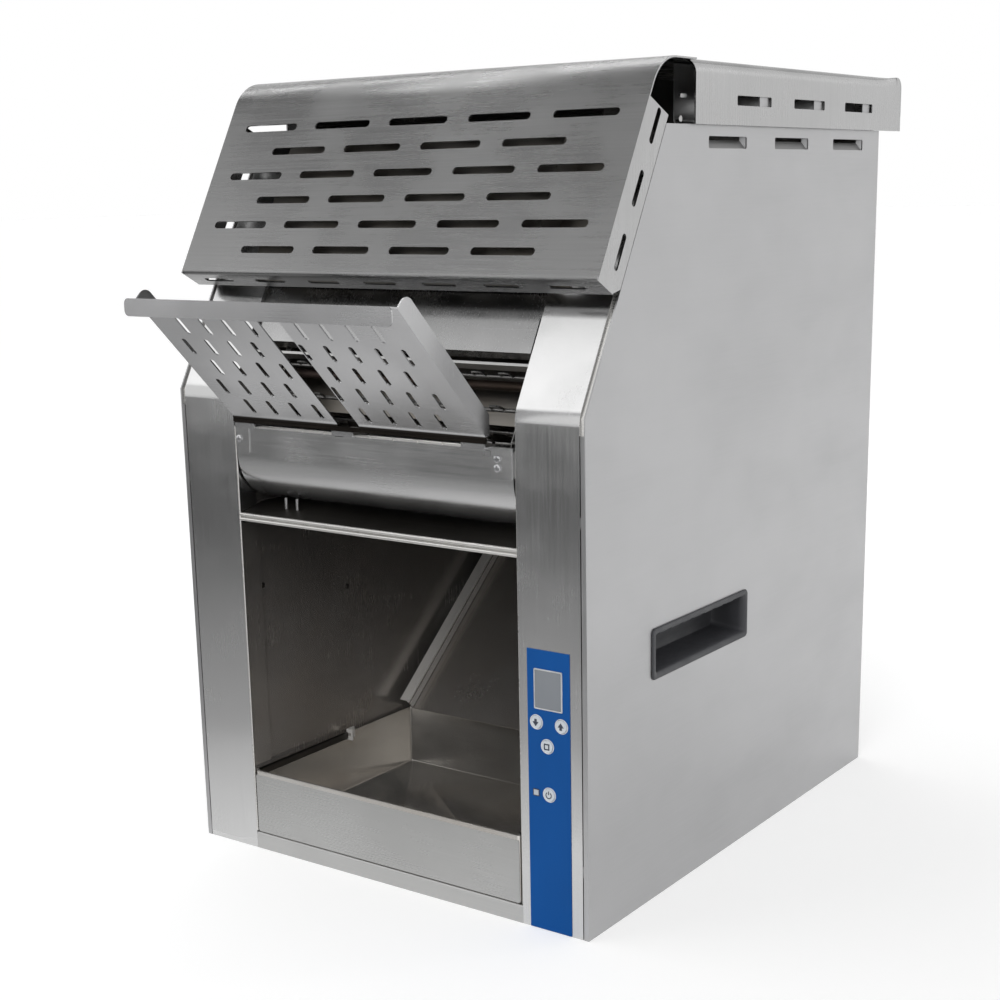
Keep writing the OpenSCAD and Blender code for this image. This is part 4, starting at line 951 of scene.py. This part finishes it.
for hand, side in HANDS:
    # Each side hem ends in a folded tab with a square hole
    tab = Shape()
    tab_c = (side * (TRAY_HALF - 4.6), TRAY_TOP - 1.0)
    tab.plate(rounded(6.6, 9.6, 0.7, 4, tab_c), [rounded(2.8, 3.2, 0.4, 4, tab_c)],
              from_front((0, 0), 112.0), -0.9, 0.1)
    tab.plate(rounded(9.4, 9.6, 0.7, 4, (117.0, TRAY_TOP - 1.0)), [], on_x,
              side * (TRAY_HALF - 1.3), side * (TRAY_HALF - 2.1))
    # The tab's brighter steel is painted light
    piece(f"tray_tab_{hand}", tab, "lip", "tray")
    hem = Shape()
    hem.plate(rounded(3.2, 6.4, 1.5, 5, (side * (TRAY_HALF - 1.7), TRAY_TOP - 1.9)), [],
              lambda u, v, a: (u, a, v), 1.6, 111.8)
    piece(f"tray_hem_{hand}", hem, "hem", "tray")
piece("tray_pan", pan, "tray", "tray", ["collection_tray"])

# Pressed scoops behind the side vents, the lugs behind the cover's slots, and the
# rivets in the walls of the chamber
VENT_Z, VENT_LEN, VENT_H, VENT_GAP = 553.5, 58.5, 8.5, 2.6
for hand, side in HANDS:
    scoop, ends = Shape(), Shape()
    for k in range(3):
        y = DEPTH - 63 - 105 * k
        low, high = VENT_Z - VENT_H / 2, VENT_Z + VENT_H / 2 - VENT_GAP
        top = high + VENT_GAP
        front, back, short = y - VENT_LEN / 2, y + VENT_LEN / 2, y + VENT_LEN / 2 - 1.5
        outer, inner = side * 188.8, side * 184.6
        face = [(outer, front, low), (outer, back, low), (inner, short, high), (inner, front, high)]
        scoop.loft([face, [(px - side * 0.5, py, pz - 0.8) for px, py, pz in face]])
        end = [(outer, back, low), (outer, back, top), (inner, short, top), (inner, short, high)]
        ends.loft([end, [(px - side * 0.6, py + 0.6, pz) for px, py, pz in end]])
    # The scoops' darker steel is painted shade inside the vents; their ends keep the side steel
    piece(f"vent_scoops_{hand}", scoop, "vent", "body")
    piece(f"vent_ends_{hand}", ends, "side", "body")
    lugs = Shape()
    for k in range(3):
        y = 230.5 + 93.7 * k
        lugs.plate(rounded(14, 11, 1.2, 4, (y + 18.5, 583)), [], on_x, side * 190.4, side * 191.2)
    piece(f"cover_lugs_{hand}", lugs, "side", "body")
    rivets = Shape()
    for y, z in ((23, 217), (126, 195), (190, 237)):
        pin(rivets, side * 136.0, side * 133.2, y, z, 2.3)
    piece(f"wall_rivets_{hand}", rivets, "soot", "body")

# Inside the notch of the cover: the lug that joins the hood to the flange, and its screw
notch = Shape()
for side in (-1, 1):
    notch.plate(rounded(9, 2.6, 0.6, 4, (133, 584.5)), [], on_x, side * 186.5, side * 187.7)
    pin(notch, side * 184.5, side * 188.9, 128, 569, 2.4)
piece("notch_lugs", notch, "rail", "body")

# The tray's front face is polished less than its inside
face = Shape()
face.plate(rounded(2 * TRAY_HALF - 1, TRAY_TOP - TRAY_Z - 4, 1.5, 5, (0, (TRAY_TOP + TRAY_Z - 3) / 2)),
           [], from_front((0, 0), 0), -0.2, 0.22)
piece("tray_face", face, "tray_lip", "tray")

# Behind the slanted seams, the fold of each column closes the gap to the side panel
for hand, side in HANDS:
    seam = Shape()
    line = [(1.7, 352), (1.7, 374.6), *(at(h, 1.7) for h in (1.5, 70, 140, 214))]
    seam.plate(strip(line, -0.9), [], on_x, side * 185.3, side * 188.7)
    piece(f"seam_fold_{hand}", seam, "bar", "body")

# The cover's rear corners are closed by a tab that follows the rear bend, and by a
# drawn stretch in which the side bend turns square to meet it
COVER_R, FLANGE_LOW = 10.0, 565.6
COVER_HALF, COVER_BACK, COVER_TOP = 193.0, 506.5, 610.0
BEND = (COVER_BACK - COVER_R, COVER_TOP - COVER_R)
# (place along Y, how square the side bend has turned there)
CORNER_STAGES = ((BEND[0] - 40, 0.0), (BEND[0] - 26, 0.12), (BEND[0] - 12, 0.45), (BEND[0] + 0.2, 0.9))
for hand, side in HANDS:
    corner = Shape()
    outline = [(BEND[0] - 2, FLANGE_LOW), (COVER_BACK - 0.1, FLANGE_LOW)]
    outline += ring_points(BEND, COVER_R - 0.1, 12, 0, 90, False)
    outline += [(BEND[0], BEND[1] - 0.5), (BEND[0] - 2, BEND[1] - 0.5)]
    corner.plate(outline, [], on_x, side * (COVER_HALF - 1), side * (COVER_HALF - 0.05))
    knee = (COVER_HALF - COVER_R, BEND[1])
    turns = [math.radians(7.5 * k) for k in range(13)]
    rings = []
    for y, square in CORNER_STAGES:
        ring = [(side * knee[0], y, knee[1])]
        for t in turns:
            reach = (COVER_R - 0.02) * (1 + square * (1 / max(math.cos(t), math.sin(t)) - 1))
            ring.append((side * (knee[0] + reach * math.cos(t)), y, knee[1] + reach * math.sin(t)))
        rings.append(ring)
    corner.loft(rings)
    piece(f"cover_corner_{hand}", corner, "hood", "body")

# Each column folds back into the opening: a bright fold, then a liner that has the
# wall's stain and its painted shade, darker towards the top
OPENING_HALF = 132.95
LINER = [(1.9, 14.8), (20.6, 14.8), (20.6, 272), (1.9, 272)]
for hand, side in HANDS:
    liner = Shape()
    liner.plate(LINER, [], on_x, side * OPENING_HALF, side * 132.5)
    piece(f"column_liner_{hand}", liner, "inner", "body")
    fold = Shape()
    fold.tube([(side * OPENING_HALF, 0.95, z) for z in (15, 120, 240, 349)], 0.85, 12)
    piece(f"column_fold_{hand}", fold, "bar", "body")

# The chute's left flange is stiffened by a strip and a roll along its top
CHUTE_WAY = (math.cos(math.radians(40)), math.sin(math.radians(40)))
CHUTE_LINE = [(188.5, 72.4), (345.0, 203.8)]


def off_chute(p, lift):
    return (p[0] - lift * CHUTE_WAY[1], p[1] + lift * CHUTE_WAY[0])


def chute_band(low, high):
    """The outline of a strip between two distances off the chute."""
    return [off_chute(p, low) for p in CHUTE_LINE] + [off_chute(p, high) for p in CHUTE_LINE[::-1]]


flange = Shape()
flange.plate(chute_band(0.8, 6.0), [], on_x, -116.95, -116.3)
flange.tube([(-117.3, *off_chute(p, 9.2)) for p in CHUTE_LINE], 1.5, 12)
flange.plate(chute_band(9.4, 10.3), [], on_x, -126.0, -117.6)
# The flange's brighter steel is painted light where light falls on it from above
piece("chute_flange_roll", flange, "lip", "body")

# The back panel's louvres are pressed outwards over their slots
LOUVRE_LEN = 60.0
# (place along a louvre, as a share of its length, and how far it stands out there)
LOUVRE_STAGES = ((-0.53, 0.1), (-0.5, 1.8), (-0.44, 3.0), (0.44, 3.0), (0.5, 1.8), (0.53, 0.1))


def louvre_section(x, z, out):
    line = ((-0.2, 4.6), (out * 0.8, 2.9), (out, -0.4), (out - 0.6, -0.4), (out * 0.8 - 0.7, 2.3),
            (-0.3, 3.8))
    return [(x, DEPTH + dy, z + dz) for dy, dz in line]


louvres = Shape()
for x in (-110, 0, 110):
    for z in range(350, 521, 17):
        louvres.loft([louvre_section(x + s * LOUVRE_LEN, z, out) for s, out in LOUVRE_STAGES])
piece("back_louvres", louvres, "back", "body")

# The gland: a hexagon nut, a ribbed dome and its bore
GLAND, RIBS_FROM, RIB_OUT = (-130.0, 60.0), 12, 0.35
gland = Shape()
nut = [polar(GLAND, 15.5, math.radians(60 * k + 30)) for k in range(6)]
gland.plate(nut, [ring_points(GLAND, 6, 30)], from_back((0, 0), DEPTH), 0.1, 4.2)
rings = []
for r, a in ((6, -6), (10.8, -6), (10.8, 4), (12.6, 4.2), (12.4, 6.6), (10.2, 8.6), (7.4, 9.1), (6, 8.8)):
    ring = []
    for k in range(48):
        rib = RIB_OUT if k % 2 and r > RIBS_FROM else 0
        x, z = polar(GLAND, r + rib, math.tau * k / 48)
        ring.append((x, DEPTH + a, z))
    rings.append(ring)
gland.loft(rings, closed=True)
piece("gland_nut", gland, "black", "body", ["cord_gland"])

# ---------------------------------------------------------------- motor and fan
# (radius, distance along X) round the motor's can
CAN_PROFILE = [
    (0, -116.3), (26, -116.3), (28.4, -115.8), (29, -114.6), (29, -100), (28.2, -99.4), (28.2, -97.6),
    (29, -97), (29, -72), (28.2, -71.4), (28.2, -69.6), (29, -69), (29, -57.6), (28.2, -55.4),
    (24, -54.6), (12, -54.4), (11, -54.3), (10.4, -54.3), (0, -54.3),
]
motor = Shape()
motor.lathe(CAN_PROFILE, round_x(MOTOR), 48)
for k in range(20):
    rib = polar(MOTOR, 28.7, math.radians(k * 18))
    motor.tube([(-95, *rib), (-74, *rib)], 0.9, 6)
piece("motor_can", motor, "motor", "body", ["gear_motor"])

BOX_X, BOX_MID = -134.2, (MOTOR[0], MOTOR[1] - 3)
BOSS_PROFILE = [(4.6, 19.0), (4.6, 20.6), (4.0, 21.2), (2.4, 21.2), (2.2, 19.8), (0, 19.8)]
box = Shape()
box.plate(rounded(60, 70, 6, 6, BOX_MID), [ring_points(MOTOR, 9, 30)], along_x(BOX_X), 0, 3)
box.plate(rounded(60, 70, 6, 6, BOX_MID), [], along_x(BOX_X), 3, 14)
box.plate(rounded(57, 67, 5, 6, BOX_MID), [], along_x(BOX_X), 14, 19.9)
for sy in (-1, 1):
    for sz in (-1, 1):
        box.lathe(BOSS_PROFILE, round_x((BOX_MID[0] + sy * 24.5, BOX_MID[1] + sz * 29.5), BOX_X), 18)
piece("gearbox", box, "motor", "body", bevel=0.0006)

FAN, FAN_Y = (80.0, 110.0), 441.7
BLADES, BLADE_MID_Y = 7, FAN_Y + 11.6
# (radius, distance along Y) round the hub, with its bore
HUB_PROFILE = [
    (2.05, 3.2), (2.05, 20), (14.6, 20), (16.4, 19.2), (17, 17.6), (17, 4.4), (16.4, 3.4), (14, 3.2),
    (2.05, 3.2),
]
# (place along the chord, face) round a section of a blade
BLADE_EDGE = ((-1, 1), (-0.45, 1), (0.1, 1), (0.6, 1), (1, 1), (0.6, -1), (0.1, -1), (-0.45, -1))


def blade_section(base, j):
    """One of a blade's six sections, from the hub outwards."""
    r = 15.8 + j * 4.6
    sweep = base - 0.16 * (j / 5) ** 1.4
    pitch = math.radians(50 - 3.4 * j)
    chord = 7.4 + 0.5 * j
    ring = []
    for f, face in BLADE_EDGE:
        thick = 0.75 * math.sqrt(max(0.0, 1 - f * f)) + 0.12
        along = f * chord
        depth = along * math.sin(pitch) + face * thick * math.cos(pitch) + 1.2 * (1 - f * f)
        swing = (along * math.cos(pitch) - face * thick * math.sin(pitch)) / r
        x, z = polar(FAN, r, sweep + swing)
        ring.append((x, BLADE_MID_Y + depth, z))
    return ring


rotor = Shape()
rotor.lathe(HUB_PROFILE, from_back(FAN, FAN_Y), 40)
for k in range(BLADES):
    rotor.loft([blade_section(math.radians(k * 360 / BLADES), j) for j in range(6)])
piece("fan_blades", rotor, "black", "fan", ["fan_rotor"])

# ---------------------------------------------------------------- studio
scene = bpy.context.scene
scene.view_settings.view_transform = "Standard"

camera = bpy.data.objects.new("camera", bpy.data.cameras.new("camera"))
scene.collection.objects.link(camera)
scene.camera = camera
camera.data.sensor_width = 36.0
camera.data.lens = 59.807
camera.data.shift_x = 0.00055
camera.data.shift_y = 0.0878
camera.data.clip_start = 0.05
camera.data.clip_end = 60.0
camera.location = (0.78152, -1.1553, 0.52581)
camera.rotation_mode = "QUATERNION"
camera.rotation_quaternion = (0.750151, 0.586643, 0.195841, 0.234031)


def background(t, strength, plain):
    """Is the first for a ray from the camera, a glossy face or glass, which sees the
    pale background, and the second for any other."""
    ray = t.add("ShaderNodeLightPath").outputs
    seen = t.maths("MAXIMUM", ray["Is Camera Ray"], ray["Is Glossy Ray"])
    seen = t.maths("MAXIMUM", seen, ray["Is Transmission Ray"])
    return t.span(seen, 0.0, 1.0, plain, strength)


world = bpy.data.worlds.new("studio")
scene.world = world
world.use_nodes = True
sky = Nodes(world.node_tree)
sky.give(sky.tree.nodes["Background"], Color=(1, 1, 1, 1), Strength=background(sky, 1.0, 0.45))


def rectangle(x0, x1, y0, y1, z):
    """Corners and faces of a level rectangle."""
    return [(x0, y0, z), (x1, y0, z), (x1, y1, z), (x0, y1, z)], [(0, 1, 2, 3)]


def staged(name, corners, faces):
    """A plane of the studio, with its material's nodes and output."""
    me = bpy.data.meshes.new(name)
    me.from_pydata(corners, [], faces)
    o = bpy.data.objects.new(name, me)
    scene.collection.objects.link(o)
    m = bpy.data.materials.new(name)
    m.use_nodes = True
    m.node_tree.nodes.clear()
    me.materials.append(m)
    t = Nodes(m.node_tree)
    return o, t, t.add("ShaderNodeOutputMaterial")


def floor():
    _, t, out = staged("floor", *rectangle(-30, 30, -30, 30, 0))
    wall, glow, both = (t.add(f"ShaderNode{kind}") for kind in ("BsdfDiffuse", "Emission", "AddShader"))
    t.give(wall, Color=(0.84, 0.84, 0.84, 1))
    t.give(glow, Strength=background(t, 0.3, 0.0))
    t.feed(both.inputs[0], wall.outputs[0])
    t.feed(both.inputs[1], glow.outputs[0])
    t.give(out, Surface=both.outputs[0])


def reflector_board(name, corners, faces, near, far):
    """A grey board that only metal sees. Near and far are (distance from the studio's
    centre, tone), and between them the tone goes from one to the other."""
    o, t, out = staged(name, corners, faces)
    away = t.add("ShaderNodeVectorMath", operation="LENGTH")
    t.feed(away.inputs[0], t.add("ShaderNodeTexCoord").outputs["Object"])
    glow = t.add("ShaderNodeEmission")
    t.give(glow, Strength=t.span(away.outputs["Value"], near[0], far[0], near[1], far[1]))
    t.give(out, Surface=glow.outputs[0])
    o.visible_camera = o.visible_diffuse = o.visible_shadow = o.visible_transmission = False


CEILING_Z, BOARD_Z, NEAR_EDGE = 2.6, 0.004, 0.56


def sector(r0, r1, a0=-12, a1=82, n=16):
    """Corners and faces of a ring's part on the floor; the angle is from the front to
    the left."""
    way = [math.radians(a0 + (a1 - a0) * i / n) for i in range(n + 1)]
    ring = [(-r * math.sin(a), -r * math.cos(a), BOARD_Z) for r in (r0, r1) for a in way]
    return ring, [(i, i + 1, n + 2 + i, n + 1 + i) for i in range(n)]


floor()
reflector_board("ceiling_board", *rectangle(-2.6, 3.5, -1.84, 2.6, CEILING_Z), (0.0, 0.23), (2.6, 0.32))
reflector_board("front_softbox", *rectangle(-3.9, -0.7, -3.3, -1.95, CEILING_Z), (0.0, 1.7), (9.0, 1.7))
reflector_board("floor_board", *sector(NEAR_EDGE, 6.0), (NEAR_EDGE, 0.5), (1.7, 0.13))
reflector_board("near_board", *sector(0.28, NEAR_EDGE), (0.28, 0.95), (NEAR_EDGE, 0.62))


def light(kind, name, place, target, power, size=None, angle=None):
    data = bpy.data.lights.new(name, kind)
    data.energy = power
    if size:
        data.shape = "RECTANGLE"
        data.size, data.size_y = size
    if angle:
        data.angle = math.radians(angle)
    o = bpy.data.objects.new(name, data)
    scene.collection.objects.link(o)
    o.location = place
    o.rotation_mode = "QUATERNION"
    o.rotation_quaternion = (Vector(target) - Vector(place)).to_track_quat("-Z", "Y")
    return o


key = light("SUN", "key", (1.2, -2.0, 2.6), (0, 0, 0.3), 1.25, angle=50)
key.visible_glossy = False
fill = light("SUN", "fill", (-2.2, -1.0, 2.2), (0, 0, 0.3), 0.55, angle=60)
fill.visible_glossy = False
light("AREA", "strip_near", (-1.3, 0.28, 2.5), (0, 0, 0.6), 5, size=(2.2, 0.10))
light("AREA", "strip_far", (-1.5, 0.95, 2.3), (0, 0, 0.6), 5, size=(2.2, 0.12))
light("AREA", "side_box", (2.3, 2.2, 2.0), (0.1, 0, 0.3), 4.5, size=(0.7, 1.1))
